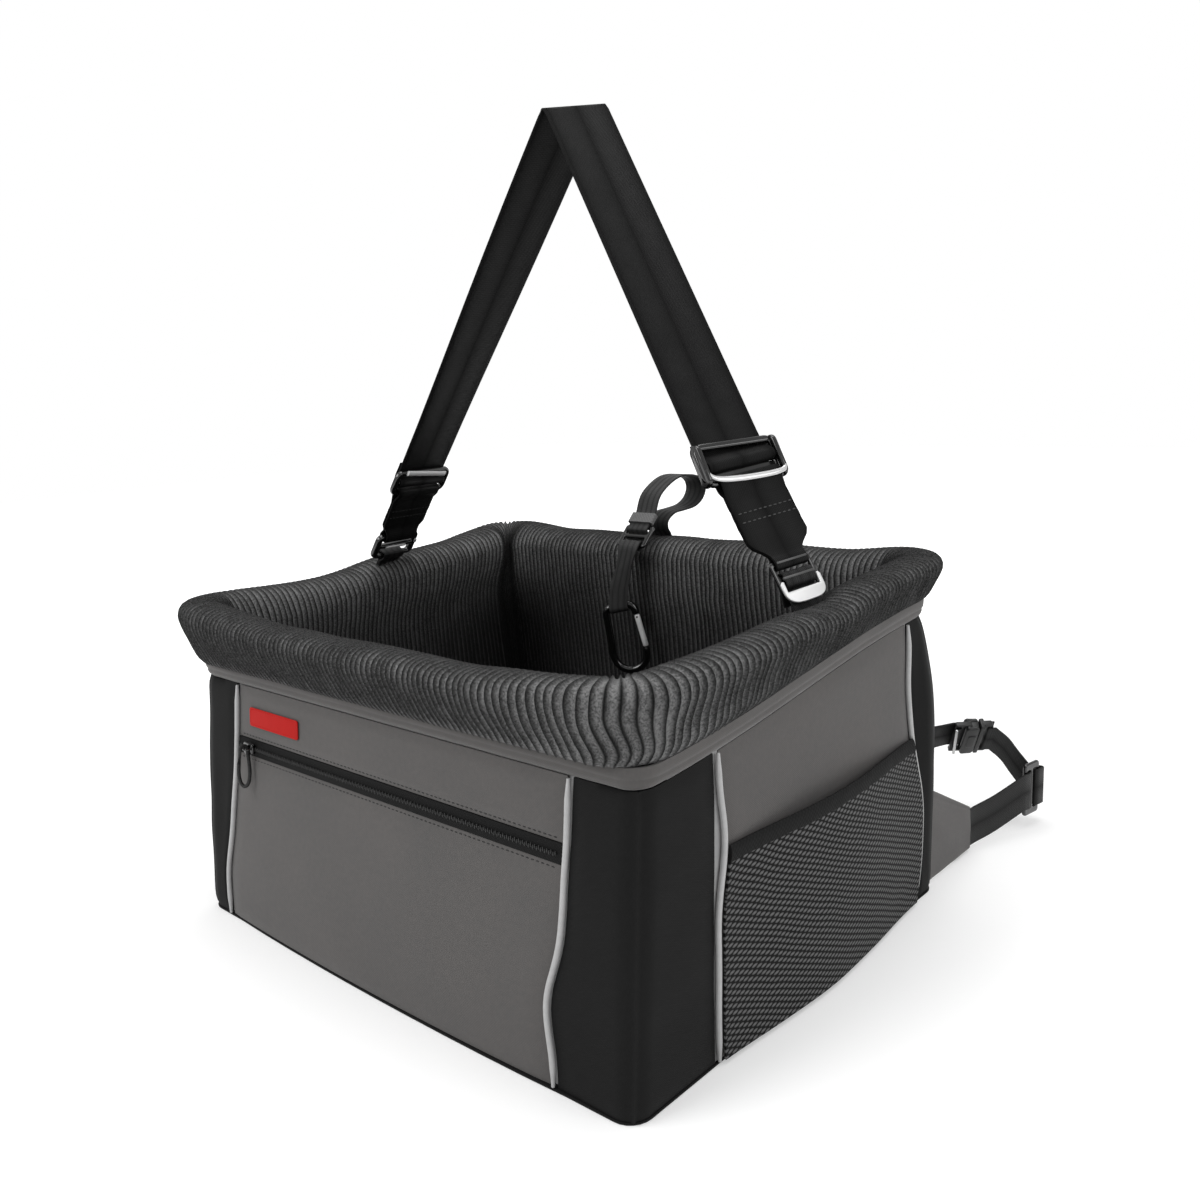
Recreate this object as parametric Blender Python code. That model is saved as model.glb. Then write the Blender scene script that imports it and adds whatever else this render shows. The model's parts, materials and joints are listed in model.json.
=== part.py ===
"""A dog's booster seat for a car: a padded fabric box with a ribbed plush rim, a head strap, a tether and a belt.

Metres, +Z up. +X is right for someone facing the zip pocket, which is the front (-Y). The origin is the
centre of the underside.
"""

import math

import bmesh
import bpy
from mathutils import Matrix, Vector

mm = 0.001

# Clearances
gap = 0.3 * mm
loose = 0.6 * mm
weld_distance = 0.01 * mm
cut_overrun = 2 * mm

# Box
base_width = 411 * mm
base_depth = 337 * mm
width_flare = -1 * mm
depth_lean = 16 * mm
front_seam_height = 172 * mm
back_seam_height = 203 * mm
corner_radius = 14 * mm
fabric_thickness = 1.5 * mm
board_thickness = 6.5 * mm
lining_thickness = 1 * mm
lining_low = 12 * mm
board_corner_room = 20 * mm
plush_thickness = 3 * mm
base_board_thickness = 4 * mm

# Rim
band_height = 13 * mm
band_flare = 3 * mm
front_roll_height = 35 * mm
back_roll_height = 23 * mm
corner_rise = 7 * mm
corner_rise_width = 120 * mm
corner_rise_depth = 130 * mm
roll_half_width = 24 * mm
roll_corner_radius = 27 * mm
roll_front_shift = 6 * mm

# Floor pad
pad_room = 4 * mm
pad_edge_thickness = 15 * mm
pad_crown = 9 * mm
pad_draw_in = 5 * mm
pad_edge_round = 3 * mm

# Piping, as places along each wall at the foot and at the seam
piping_radius = 1.8 * mm
piping_sink = 0.4 * mm
front_piping_top = 158 * mm
front_right_piping_foot = 150 * mm
front_left_piping_foot = 174 * mm
side_front_piping_top = 90 * mm
side_front_piping_foot = 97 * mm
side_back_piping_top = 120 * mm
side_back_piping_foot = 139 * mm
back_panel_half_width = 158 * mm

# Zip pocket
zip_below_seam = 34.5 * mm
zip_height = 15 * mm
coil_width = 3.2 * mm
coil_height = 1.6 * mm
coil_end_room = 3 * mm
slider_length = 12 * mm
slider_wall = 2 * mm
slider_plate = 1.4 * mm
slider_start = 8 * mm
arch_length = 7 * mm
arch_width = 1.8 * mm
arch_bar = 1.2 * mm
arch_hole = 2.6 * mm
arch_hole_length = 4.4 * mm
pull_cord_radius = 0.9 * mm
pull_length = 31 * mm
pull_spread = 5 * mm

# Patch
patch_width = 58 * mm
patch_height = 13 * mm
patch_left = -141 * mm
patch_below_seam = 26 * mm
patch_thickness = 0.8 * mm

# Mesh pockets
mesh_low = 3 * mm
mesh_below_seam = 60 * mm
mesh_thickness = 1.2 * mm
mesh_bulge = 9 * mm
mesh_foot_share = 0.7
mesh_reach_share = 0.82
binding_height = 11 * mm
binding_thickness = 2 * mm

# Head strap
strap_width = 50 * mm
strap_thickness = 1.5 * mm
strap_apex_back = 49 * mm
strap_apex_height = 546.5 * mm
strap_fold_radius = 2 * mm
anchor_out = 195 * mm
left_anchor_back = 11 * mm
right_anchor_back = 20 * mm
right_lean = 6 * mm
anchor_width = 22 * mm
anchor_thickness = 1.2 * mm
anchor_sink = 16 * mm
slot_thickness = 4.8 * mm
slot_side_room = 1 * mm
slot_rise = 14 * mm
right_turn = math.radians(22)
left_turn = math.radians(8)
apex_turn = math.radians(15)
apex_tilt = math.radians(8)

# Adjusters of the head strap: a frame round one bar
right_adjuster_place = 99 * mm
left_adjuster_place = 77 * mm
right_frame_length = 29 * mm
left_frame_length = 22 * mm
frame_side = 4.5 * mm
frame_end = 4.5 * mm
frame_thickness = 4 * mm
frame_corner = 7 * mm
roller_radius = 2.6 * mm
left_bar_radius = 1.8 * mm
tail_length = 30 * mm

# Ladder lock and left anchor buckle
lock_low = 3.5 * mm
lock_tongue = 9 * mm
lock_slot = 6 * mm
lock_bar = 4 * mm
lock_thickness = 2.4 * mm
lock_side = 2.6 * mm
lock_corner = 6 * mm
buckle_low = 6 * mm
buckle_side = 5 * mm
buckle_bar = 3.5 * mm
buckle_slot = 5.5 * mm
buckle_middle = 3.5 * mm
buckle_thickness = 5 * mm
buckle_corner = 5 * mm
right_stub_narrow = 24 * mm
left_stub_narrow = 34 * mm
stub_wide = 45 * mm
stub_taper_share = 0.3

# Tether
tether_width = 20 * mm
tether_thickness = 1.3 * mm
tether_place = -30 * mm
tether_slider_side = 3.5 * mm
tether_slider_bar = 3.2 * mm
tether_slider_slot = 5.4 * mm
tether_slider_thickness = 2.6 * mm
tether_slider_inset = 39.5 * mm
tether_slider_rise = 5 * mm
tether_slider_tilt = math.radians(45)
tether_corner = 2 * mm
keeper_wall = 1.4 * mm
keeper_length = 9 * mm

# The tether's slack, as millimetres behind the box's back edge at its foot and above the back rim
tether_slack = ((-8, 4), (-11, 8.5), (-10, 14.5), (-1, 19.5), (12, 20.5), (26, 22), (36, 27),
                (40.5, 35), (36.5, 43), (23, 47.5), (6, 47.5), (-9, 42), (-20, 34))

# Carabiner
carabiner_drop = 56 * mm
carabiner_lean = -12 * mm
carabiner_forward = 10 * mm
carabiner_turn = math.radians(30)
carabiner_tilt = math.radians(11)
carabiner_length = 52 * mm
carabiner_top_half = 11 * mm
carabiner_eye_half = 7.5 * mm
carabiner_low_half = 14 * mm
carabiner_radius = 3 * mm
gate_radius = 2.2 * mm
gate_top = 8.5 * mm
gate_low = 36 * mm
gate_room = 0.5 * mm

# Rear belt
belt_width = 30 * mm
belt_thickness = 1.5 * mm
wing_out = 199 * mm
wing_lap = 24 * mm
wing_thickness = 3 * mm
wing_low = 2 * mm
wing_reach = 67.5 * mm
wing_root_height = 76 * mm
wing_tip_height = 36 * mm
belt_low = 1 * mm
buckle_out = 166 * mm
buckle_back = 281.5 * mm
buckle_height = 72.5 * mm
buckle_turn = math.radians(40)
glide_bar = 3.5 * mm
glide_middle_bar = 3 * mm
glide_slot = 5 * mm
glide_thickness = 3 * mm
glide_side = 6 * mm
glide_back = 311 * mm
glide_corner = 3 * mm
glide_out = 217 * mm
glide_height = 31 * mm
glide_turn = math.radians(80)
socket_left = 6.75 * mm
socket_length = 10 * mm
socket_thickness = 10 * mm
socket_wall = 2 * mm
buckle_window = 5 * mm
buckle_tilt = math.radians(38)
plug_bar = 3.5 * mm
buckle_bar_half = 1.9 * mm
sewn_lap = 4 * mm

# Where the belt turns at its glide, as millimetres beyond the glide's end bar and towards the box's middle
glide_turn_places = ((5.5, 0.5), (5, 4.5), (2.5, 8))

# Places in millimetres that the belt passes, from its glide to the plug, and from the socket to the left wing
belt_run_places = ((206.5, 322, 38), (201, 317, 48), (195.5, 310, 60))
belt_left_places = ((148, 268, 71), (125, 253, 67), (80, 241, 59), (0, 235, 48), (-80, 236, 38), (-150, 246, 28),
                    (-184, 254, 20))
plug_shoulder = 3 * mm
prong_width = 6 * mm
prong_thickness = 3 * mm
prong_length = 7 * mm
buckle_edge = 2.6 * mm

# Heights that follow from the sizes above
half_base_width = base_width / 2
half_base_depth = base_depth / 2
wall_low = fabric_thickness + gap
board_outer = fabric_thickness + gap
board_inner = board_outer + board_thickness
liner_outer = board_inner + gap
liner_inner = liner_outer + plush_thickness
floor_top = wall_low + base_board_thickness
back_rim_height = back_seam_height + band_height + back_roll_height
zip_high = front_seam_height - zip_below_seam
zip_low = zip_high - zip_height
patch_low = front_seam_height - patch_below_seam
mesh_high = front_seam_height - mesh_below_seam
binding_high = mesh_high + binding_height
tether_slider_back = half_base_depth - tether_slider_inset
tether_slider_height = back_rim_height + tether_slider_rise
wing_back = half_base_depth + wing_reach
lean_angle = math.atan(depth_lean / front_seam_height)
piping_room = piping_radius + gap


def ease(share):
    share = min(max(share, 0), 1)
    return share * share * (3 - 2 * share)


def between(start, end, share):
    return start + (end - start) * share


def half_width(height):
    return half_base_width + width_flare * height / front_seam_height


def half_depth(height):
    return half_base_depth - depth_lean * height / front_seam_height


def seam_height(back):
    share = (back + half_base_depth) / base_depth
    return between(front_seam_height, back_seam_height, ease(share))


def rim_height(back):
    share = (back + half_base_depth) / base_depth
    roll_height = between(front_roll_height, back_roll_height, ease(share))
    return seam_height(back) + band_height + roll_height


def clear_scene():
    for item in list(bpy.data.objects):
        bpy.data.objects.remove(item, do_unlink=True)


def surface(name, colour, roughness, metallic=0.0):
    made = bpy.data.materials.new(name)
    made.use_nodes = True
    shader = made.node_tree.nodes["Principled BSDF"]
    shader.inputs["Base Color"].default_value = (*colour, 1.0)
    shader.inputs["Roughness"].default_value = roughness
    shader.inputs["Metallic"].default_value = metallic
    return made


def finish(mesh, name, look, frame=None, sharp=math.radians(35)):
    """Turn a bmesh into a named object, its faces pointing out, at a frame."""
    bmesh.ops.recalc_face_normals(mesh, faces=mesh.faces[:])
    if mesh.calc_volume(signed=True) < 0:
        bmesh.ops.reverse_faces(mesh, faces=mesh.faces[:])
    data = bpy.data.meshes.new(name)
    mesh.to_mesh(data)
    mesh.free()
    data.materials.append(look)
    data.shade_smooth()
    data.set_sharp_from_angle(angle=sharp)
    item = bpy.data.objects.new(name, data)
    bpy.context.collection.objects.link(item)
    if frame is not None:
        item.matrix_world = frame
    return item


def sheet(name, place, columns, rows, look, frame=None):
    """A slab between two faces: place(across, along, skin) gives a point for shares from 0 to 1."""
    mesh = bmesh.new()
    bmesh.ops.create_grid(mesh, x_segments=columns, y_segments=rows, size=1)
    made = bmesh.ops.extrude_face_region(mesh, geom=mesh.faces[:])
    inner = {item for item in made["geom"] if isinstance(item, bmesh.types.BMVert)}
    for vert in mesh.verts:
        across = (vert.co.x + 1) / 2
        along = (vert.co.y + 1) / 2
        vert.co = place(across, along, 1 if vert in inner else 0)
    return finish(mesh, name, look, frame)


def ring(name, place, columns, rows, look, frame=None):
    """A closed loop: place(around, section) repeats where either share comes round to 1."""
    mesh = bmesh.new()
    bmesh.ops.create_grid(mesh, x_segments=columns, y_segments=rows, size=1)
    for vert in mesh.verts:
        around = round((vert.co.x + 1) / 2 * columns) % columns
        section = round((vert.co.y + 1) / 2 * rows) % rows
        vert.co = place(around, section)
    bmesh.ops.remove_doubles(mesh, verts=mesh.verts[:], dist=weld_distance)
    return finish(mesh, name, look, frame)


def smooth_path(points, steps):
    """Points along a smooth curve through the given ones."""
    points = [Vector(point) for point in points]
    padded = [2 * points[0] - points[1], *points, 2 * points[-1] - points[-2]]
    result = []
    for index in range(1, len(padded) - 2):
        before, start, end, after = padded[index - 1:index + 3]
        for step in range(steps):
            share = step / steps
            pull = (end - before) * share
            bend = (2 * before - 5 * start + 4 * end - after) * share ** 2
            turn = (3 * start - before - 3 * end + after) * share ** 3
            result.append(start + (pull + bend + turn) / 2)
    result.append(points[-1])
    return result


def directions(points):
    """The unit direction of a path at each of its points."""
    result = []
    for index in range(len(points)):
        before = points[max(index - 1, 0)]
        after = points[min(index + 1, len(points) - 1)]
        result.append((after - before).normalized())
    return result


def ribbon(name, points, widths, thickness, look, frame=None):
    """Webbing along a path. widths holds, for each point, the vector from its middle to one edge."""
    forward = directions(points)
    last = len(points) - 1

    def place(across, along, skin):
        index = round(along * last)
        edge = widths[index]
        normal = edge.cross(forward[index]).normalized()
        return points[index] + edge * (2 * across - 1) + normal * (thickness * (skin - 0.5))

    return sheet(name, place, 1, last, look, frame)


def wire(name, points, radius, look, closed=False, frame=None, resolution=2):
    """A round cord or rod along points."""
    data = bpy.data.curves.new(name, "CURVE")
    data.dimensions = "3D"
    data.bevel_depth = radius
    data.bevel_resolution = resolution
    data.use_fill_caps = True
    spline = data.splines.new("POLY")
    spline.points.add(len(points) - 1)
    for spot, point in zip(spline.points, points):
        spot.co = (*point, 1)
    spline.use_cyclic_u = closed
    data.materials.append(look)
    item = bpy.data.objects.new(name, data)
    bpy.context.collection.objects.link(item)
    if frame is not None:
        item.matrix_world = frame
    return item


def block(name, low, high, look, frame=None, corner=0, edge_axis=None, corner_steps=3):
    """A box between two corners, with the edges along one axis rounded."""
    low = Vector(low)
    high = Vector(high)
    mesh = bmesh.new()
    bmesh.ops.create_cube(mesh, size=1)
    for vert in mesh.verts:
        for axis in range(3):
            vert.co[axis] = high[axis] if vert.co[axis] > 0 else low[axis]
    if corner:
        edges = [edge for edge in mesh.edges if along_axis(edge, edge_axis)]
        bmesh.ops.bevel(mesh, geom=edges, offset=corner, segments=corner_steps, profile=0.5,
                        affect="EDGES", clamp_overlap=True)
    return finish(mesh, name, look, frame)


def along_axis(edge, axis):
    run = edge.verts[0].co - edge.verts[1].co
    return abs(run[axis]) > run.length * 0.99


def cut(target, cutter, operation="DIFFERENCE"):
    """Cut one object by another, which stays only as a hidden guide."""
    change = target.modifiers.new(cutter.name, "BOOLEAN")
    change.operation = operation
    change.solver = "EXACT"
    change.object = cutter
    cutter.hide_render = True
    cutter.display_type = "WIRE"


def move_origin(item, point):
    """Put a moving piece's origin on the axis that it turns about."""
    shift = item.matrix_world.inverted() @ point
    item.data.transform(Matrix.Translation(-shift))
    item.matrix_world = item.matrix_world @ Matrix.Translation(shift)


def soften(target, width):
    edge = target.modifiers.new("soft edges", "BEVEL")
    edge.width = width
    edge.segments = 1
    edge.limit_method = "ANGLE"
    edge.angle_limit = math.radians(50)


# Walls

corner_signs = ((1, -1), (1, 1), (-1, 1), (-1, -1))


def stations(straight_steps, corner_steps):
    """Places round a rounded rectangle, anticlockwise from the front right corner."""
    result = []
    for index, signs in enumerate(corner_signs):
        first = -math.pi / 2 + index * math.pi / 2
        last = first + math.pi / 2
        for step in range(corner_steps + 1):
            angle = between(first, last, step / corner_steps)
            result.append((signs, signs, angle, 0))
        following = corner_signs[(index + 1) % 4]
        for step in range(1, straight_steps):
            result.append((signs, following, last, step / straight_steps))
    return result


def outline_point(station, half_x, half_y, radius, outward):
    start, end, angle, share = station
    reach = Vector((math.cos(angle), math.sin(angle))) * (radius + outward)
    first = Vector((start[0] * (half_x - radius), start[1] * (half_y - radius)))
    second = Vector((end[0] * (half_x - radius), end[1] * (half_y - radius)))
    return first.lerp(second, share) + reach


def wall_point(side, along, height, depth):
    """A point at a depth inside the box's outer face."""
    across_depth = half_depth(height) - depth
    across_width = half_width(height) - depth
    places = {
        "front": (along, -across_depth, height),
        "back": (along, across_depth, height),
        "right": (across_width, along, height),
        "left": (-across_width, along, height),
    }
    return Vector(places[side])


def piping_place(side, end, height):
    """Where a wall's piping crosses a height: end -1 is the lesser end of the wall, 1 the greater."""
    ends = {
        ("front", -1): (-front_left_piping_foot, -front_piping_top, front_seam_height),
        ("front", 1): (front_right_piping_foot, front_piping_top, front_seam_height),
        ("back", -1): (-back_panel_half_width, -back_panel_half_width, back_seam_height),
        ("back", 1): (back_panel_half_width, back_panel_half_width, back_seam_height),
        ("side", -1): (-side_front_piping_foot, -side_front_piping_top, front_seam_height),
        ("side", 1): (side_back_piping_foot, side_back_piping_top, back_seam_height),
    }
    key = side if side in ("front", "back") else "side"
    foot, top, reach = ends[(key, end)]
    return between(foot, top, ease(height / reach))


def wall_slab(name, side, low, high, depths, look, columns=4, rows=6, edge_room=piping_room):
    """A panel of one wall between its two pipings. high is a height, or None for the seam."""
    def place(across, up, skin):
        middle_height = low if high is not None else front_seam_height
        rough = between(piping_place(side, -1, middle_height), piping_place(side, 1, middle_height), across)
        back = rough if side in ("left", "right") else {"front": -half_base_depth, "back": half_base_depth}[side]
        top = high if high is not None else seam_height(back) - gap
        height = between(low, top, up)
        start = piping_place(side, -1, height) + edge_room
        end = piping_place(side, 1, height) - edge_room
        return wall_point(side, between(start, end, across), height, depths[skin])

    return sheet(name, place, columns, rows, look)


def corner_panel(name, signs, look):
    """The black panel that wraps one vertical edge of the box."""
    flat_steps = 2
    arc_steps = 4
    columns = 2 * flat_steps + arc_steps
    face = "front" if signs[1] < 0 else "back"

    def plan(step, height, depth):
        radius = corner_radius - depth
        middle_x = half_width(height) - corner_radius
        middle_y = half_depth(height) - corner_radius
        if step < flat_steps:
            start = abs(piping_place(face, signs[0], height)) + piping_room
            spot = (between(start, middle_x, step / flat_steps), middle_y + radius)
        elif step > flat_steps + arc_steps:
            start = abs(piping_place("side", signs[1], height)) + piping_room
            share = (columns - step) / flat_steps
            spot = (middle_x + radius, between(start, middle_y, share))
        else:
            angle = math.pi / 2 * (1 - (step - flat_steps) / arc_steps)
            spot = (middle_x + radius * math.cos(angle), middle_y + radius * math.sin(angle))
        return spot[0] * signs[0], spot[1] * signs[1]

    def place(across, up, skin):
        step = round(across * columns)
        back = plan(step, front_seam_height, 0)[1]
        height = between(wall_low, seam_height(back) - gap, up)
        x, y = plan(step, height, skin * fabric_thickness)
        return Vector((x, y, height))

    return sheet(name, place, columns, 6, look)


def floor_plate(name, low, high, depth, look):
    """A flat plate that follows the walls at a depth inside their faces."""
    mesh = bmesh.new()
    radius = max(corner_radius - depth, gap)
    spots = []
    for station in stations(1, 4):
        spot = outline_point(station, half_base_width - depth, half_depth(high) - depth, radius, 0)
        spots.append(mesh.verts.new((spot.x, spot.y, low)))
    face = mesh.faces.new(spots)
    made = bmesh.ops.extrude_face_region(mesh, geom=[face])
    top = [item for item in made["geom"] if isinstance(item, bmesh.types.BMVert)]
    bmesh.ops.translate(mesh, verts=top, vec=(0, 0, high - low))
    return finish(mesh, name, look)


def board(name, side, look):
    """A stiff foam board inside one wall, up to the top of the rim's band."""
    reach = (half_base_width if side in ("front", "back") else half_depth(back_seam_height)) - board_corner_room

    def place(across, up, skin):
        along = between(-reach, reach, across)
        outer = board_outer + lining_thickness + gap if side == "front" else board_outer
        depth = between(outer, board_inner, skin)
        back = wall_point(side, along, front_seam_height, depth).y
        height = between(wall_low, seam_height(back) + band_height, up)
        return wall_point(side, along, height, depth)

    return sheet(name, place, 10, 1, look)


def liner(look):
    """The plush lining of the four walls, one closed band of cloth."""
    places = stations(10, 2)
    corners = [(liner_outer, 0), (liner_outer, 1), (liner_inner, 1), (liner_inner, 0)]

    def place(around, section):
        depth, up = corners[section]
        station = places[around]
        radius = corner_radius - liner_outer
        reach = half_depth(front_seam_height) - depth
        rough = outline_point(station, half_width(front_seam_height) - depth, reach, radius, 0)
        height = between(floor_top + gap, seam_height(rough.y) + band_height - gap, up)
        spot = outline_point(station, half_width(height) - depth, half_depth(height) - depth, radius, 0)
        return Vector((spot.x, spot.y, height))

    return ring("liner", place, len(places), len(corners), look)


def collar_band(look):
    """The smooth strip between the box's seam and the plush roll."""
    places = stations(10, 4)
    corners = [(0, 0), (band_flare, 1), (band_flare - fabric_thickness, 1), (-fabric_thickness, 0)]

    def place(around, section):
        outward, up = corners[section]
        station = places[around]
        rough = outline_point(station, half_width(front_seam_height), half_depth(front_seam_height),
                              corner_radius, 0)
        seam = seam_height(rough.y) + gap
        spot = outline_point(station, half_width(seam), half_depth(seam), corner_radius, outward)
        height = seam_height(spot.y) + between(gap, band_height, up)
        return Vector((spot.x, spot.y, height))

    return ring("collar_band", place, len(places), len(corners), look)


# Section of the plush roll: outward as a share of its half width, up as a share of its height
roll_section_shares = (
    (0.10, 0.00), (0.20, 0.10), (0.31, 0.28), (0.43, 0.48), (0.54, 0.67), (0.58, 0.82), (0.49, 0.94),
    (0.27, 0.99), (0.00, 1.00), (-0.30, 0.97), (-0.56, 0.87), (-0.74, 0.70), (-0.84, 0.46),
    (-0.86, 0.20), (-0.80, 0.00),
)


def roll_point(station, share):
    """A point of the roll's skin, for one place round the rim and one pair of section shares."""
    width = half_width(front_seam_height)
    rough = outline_point(station, width, half_depth(front_seam_height) + roll_front_shift, roll_corner_radius, 0)
    depth = half_depth(seam_height(rough.y)) + roll_front_shift
    spot = outline_point(station, width, depth, roll_corner_radius, share[0] * roll_half_width)
    low = seam_height(spot.y) + band_height + gap
    sideways = ease((abs(spot.x) - width) / corner_rise_width + 1)
    forwards = ease((-spot.y - depth) / corner_rise_depth + 1)
    high = rim_height(spot.y) + corner_rise * sideways * forwards
    return Vector((spot.x, spot.y, between(low, high, share[1])))


def collar(look, legs):
    places = stations(10, 5)

    def place(around, section):
        return roll_point(places[around], roll_section_shares[section])

    made = ring("collar", place, len(places), len(roll_section_shares), look)
    for side, frame in legs.items():
        half = anchor_width / 2 + slot_side_room
        slot = block(f"{side} strap slot cutter", (-half, -anchor_sink - cut_overrun, -slot_thickness / 2),
                     (half, slot_rise, slot_thickness / 2), look, frame)
        cut(made, slot)
    return made


def floor_pad(look):
    """A flat padded cushion: a crown on top, sides drawn in between the corners."""
    half_x = half_base_width - liner_inner - pad_room
    half_y = half_depth(floor_top + pad_edge_thickness) - liner_inner - pad_room
    low = floor_top + gap

    def place(across, along, skin):
        x = 2 * across - 1
        y = 2 * along - 1
        swell = (1 - x ** 4) * (1 - y ** 4)
        height = low if skin else low + pad_edge_thickness + pad_crown * swell
        reach_x = half_x - pad_draw_in * (1 - y * y)
        reach_y = half_y - pad_draw_in * (1 - x * x)
        return Vector((x * reach_x, y * reach_y, height))

    made = sheet("floor_pad", place, 12, 10, look)
    soften(made, pad_edge_round)
    return made


def pipings(look):
    for side, ends in (("front", (-1, 1)), ("right", (-1, 1)), ("left", (-1, 1))):
        for end in ends:
            points = []
            steps = 8
            for step in range(steps + 1):
                seam = front_seam_height
                if side != "front":
                    seam = seam_height(piping_place(side, end, back_seam_height))
                height = between(wall_low, seam - gap - piping_room / 4, step / steps)
                points.append(wall_point(side, piping_place(side, end, height), height, -piping_sink))
            words = {"front": {-1: "left", 1: "right"}, "side": {-1: "front", 1: "back"}}
            word = words["front" if side == "front" else "side"][end]
            wire(f"piping_{side}_{word}", points, piping_radius, look)


def front_frame(along, height):
    """A frame on the front wall: X along it, Y into it, Z up its slope."""
    into = Vector((0, math.cos(lean_angle), -math.sin(lean_angle)))
    up = Vector((0, math.sin(lean_angle), math.cos(lean_angle)))
    origin = wall_point("front", along, height, 0)
    columns = Matrix((Vector((1, 0, 0)), into, up)).transposed().to_4x4()
    return Matrix.Translation(origin) @ columns


def zip_fastener(tape_look, metal_look, pull_look):
    middle = (zip_low + zip_high) / 2
    wall_slab("zip_tape", "front", zip_low + gap, zip_high - gap, (gap, fabric_thickness - gap), tape_look,
              columns=8, rows=2)
    start = piping_place("front", -1, middle) + piping_room + coil_end_room
    end = piping_place("front", 1, middle) - piping_room - coil_end_room
    frame = front_frame(0, middle)
    block("zip_coil", (start, -coil_height, -coil_width / 2), (end, 0, coil_width / 2), tape_look, frame,
          corner=coil_height / 2, edge_axis=0, corner_steps=2)

    inner = coil_width / 2 + gap
    outer = inner + slider_wall
    plate_in = -coil_height - gap
    plate_out = plate_in - slider_plate
    spot = start + slider_start + slider_length / 2
    slider_frame = front_frame(spot, middle)
    half = slider_length / 2
    slider = block("zip_slider", (-half, plate_out, -outer), (half, 0, outer), metal_look, slider_frame,
                   corner=slider_wall, edge_axis=1, corner_steps=2)
    cut(slider, block("slider channel cutter", (-half - cut_overrun, plate_in, -inner),
                      (half + cut_overrun, cut_overrun, inner), metal_look, slider_frame))
    arch_out = plate_out - arch_hole - arch_bar
    arch = block("slider arch guide", (-arch_length / 2, arch_out, -arch_width / 2),
                 (arch_length / 2, plate_out + gap, arch_width / 2), metal_look, slider_frame,
                 corner=arch_bar / 2, edge_axis=2, corner_steps=1)
    cut(slider, arch, "UNION")
    hole_in = plate_out
    hole_out = plate_out - arch_hole
    cut(slider, block("slider arch cutter", (-arch_hole_length / 2, hole_out, -outer),
                      (arch_hole_length / 2, hole_in, outer), metal_look, slider_frame))

    pivot = hole_out - arch_bar / 2
    turn = arch_bar / 2 + gap + pull_cord_radius + arch_width / 4
    points = []
    for step in range(7):
        angle = math.pi * step / 6
        points.append((0, -turn * math.cos(angle), turn * math.sin(angle)))
    down = pull_length
    points += [(pull_spread * 0.5, turn, -down * 0.3), (pull_spread, turn * 0.8, -down * 0.65),
               (pull_spread * 0.75, turn * 0.5, -down * 0.9), (0, 0, -down),
               (-pull_spread * 0.75, -turn * 0.5, -down * 0.9), (-pull_spread, -turn * 0.8, -down * 0.65),
               (-pull_spread * 0.5, -turn, -down * 0.3)]
    pull_frame = slider_frame @ Matrix.Translation((0, pivot, 0))
    wire("zip_puller", points, pull_cord_radius, pull_look, closed=True, frame=pull_frame)


def mesh_swell(across, up):
    """How far a side pocket stands off its wall."""
    hang = mesh_foot_share + (1 - mesh_foot_share) * math.sin(math.pi * up * mesh_reach_share)
    return mesh_bulge * math.sin(math.pi * across) ** 1.6 * hang


def side_pocket(side, mesh_look, binding_look):
    def place(across, up, skin):
        height = between(mesh_low, mesh_high, up)
        along = pocket_along(side, across, height)
        return wall_point(side, along, height, -gap - mesh_swell(across, up) - skin * mesh_thickness)

    def place_binding(across, up, skin):
        height = between(mesh_high + gap, binding_high, up)
        along = pocket_along(side, across, height)
        return wall_point(side, along, height, -gap - mesh_swell(across, 1) - skin * binding_thickness)

    sheet(f"pocket_mesh_{side}", place, 10, 6, mesh_look)
    sheet(f"pocket_binding_{side}", place_binding, 10, 1, binding_look)


def pocket_along(side, across, height):
    room = piping_room + gap
    start = piping_place(side, -1, height) + room
    end = piping_place(side, 1, height) - room
    return between(start, end, across)


# Head strap

def leg_frame(side):
    """A frame on one leg of the strap: X across the webbing, Y up the leg, Z away from the box's middle."""
    sign = 1 if side == "right" else -1
    back = right_anchor_back if side == "right" else left_anchor_back
    lean = right_lean if side == "right" else 0
    origin = Vector((sign * anchor_out, back, rim_height(back)))
    aim = Vector((-lean, strap_apex_back - lean, strap_apex_height))
    up = (aim - origin).normalized()
    turn = right_turn if side == "right" else left_turn
    across = Vector((sign * math.sin(turn) * sign, math.cos(turn), 0)) * sign
    across = (across - up * across.dot(up)).normalized()
    out = across.cross(up)
    columns = Matrix((across, up, out)).transposed().to_4x4()
    return Matrix.Translation(origin) @ columns


def framed(name, low, high, half, thickness, corner, windows, look, frame):
    """A flat frame between two heights, cut by windows given as (low, high, half width)."""
    made = block(name, (-half, low, -thickness / 2), (half, high, thickness / 2), look, frame,
                 corner=corner, edge_axis=2, corner_steps=4)
    for number, (window_low, window_high, window_half) in enumerate(windows):
        slot = block(f"{name} window cutter {number}", (-window_half, window_low, -thickness),
                     (window_half, window_high, thickness), look, frame, corner=gap * 3, edge_axis=2,
                     corner_steps=1)
        cut(made, slot)
    soften(made, thickness / 6)
    return made


def bar_turn(middle, half_length, half_thickness, off, end):
    """Places round one end of a flat bar, at a distance off it, from its upper face to its lower one."""
    corner = off * math.sqrt(0.5)
    upper = [(middle - end * half_length, half_thickness + off), (middle + end * half_length, half_thickness + off),
             (middle + end * (half_length + corner), half_thickness + corner),
             (middle + end * (half_length + off), half_thickness)]
    return upper + [(along, -out) for along, out in reversed(upper)]


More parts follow.
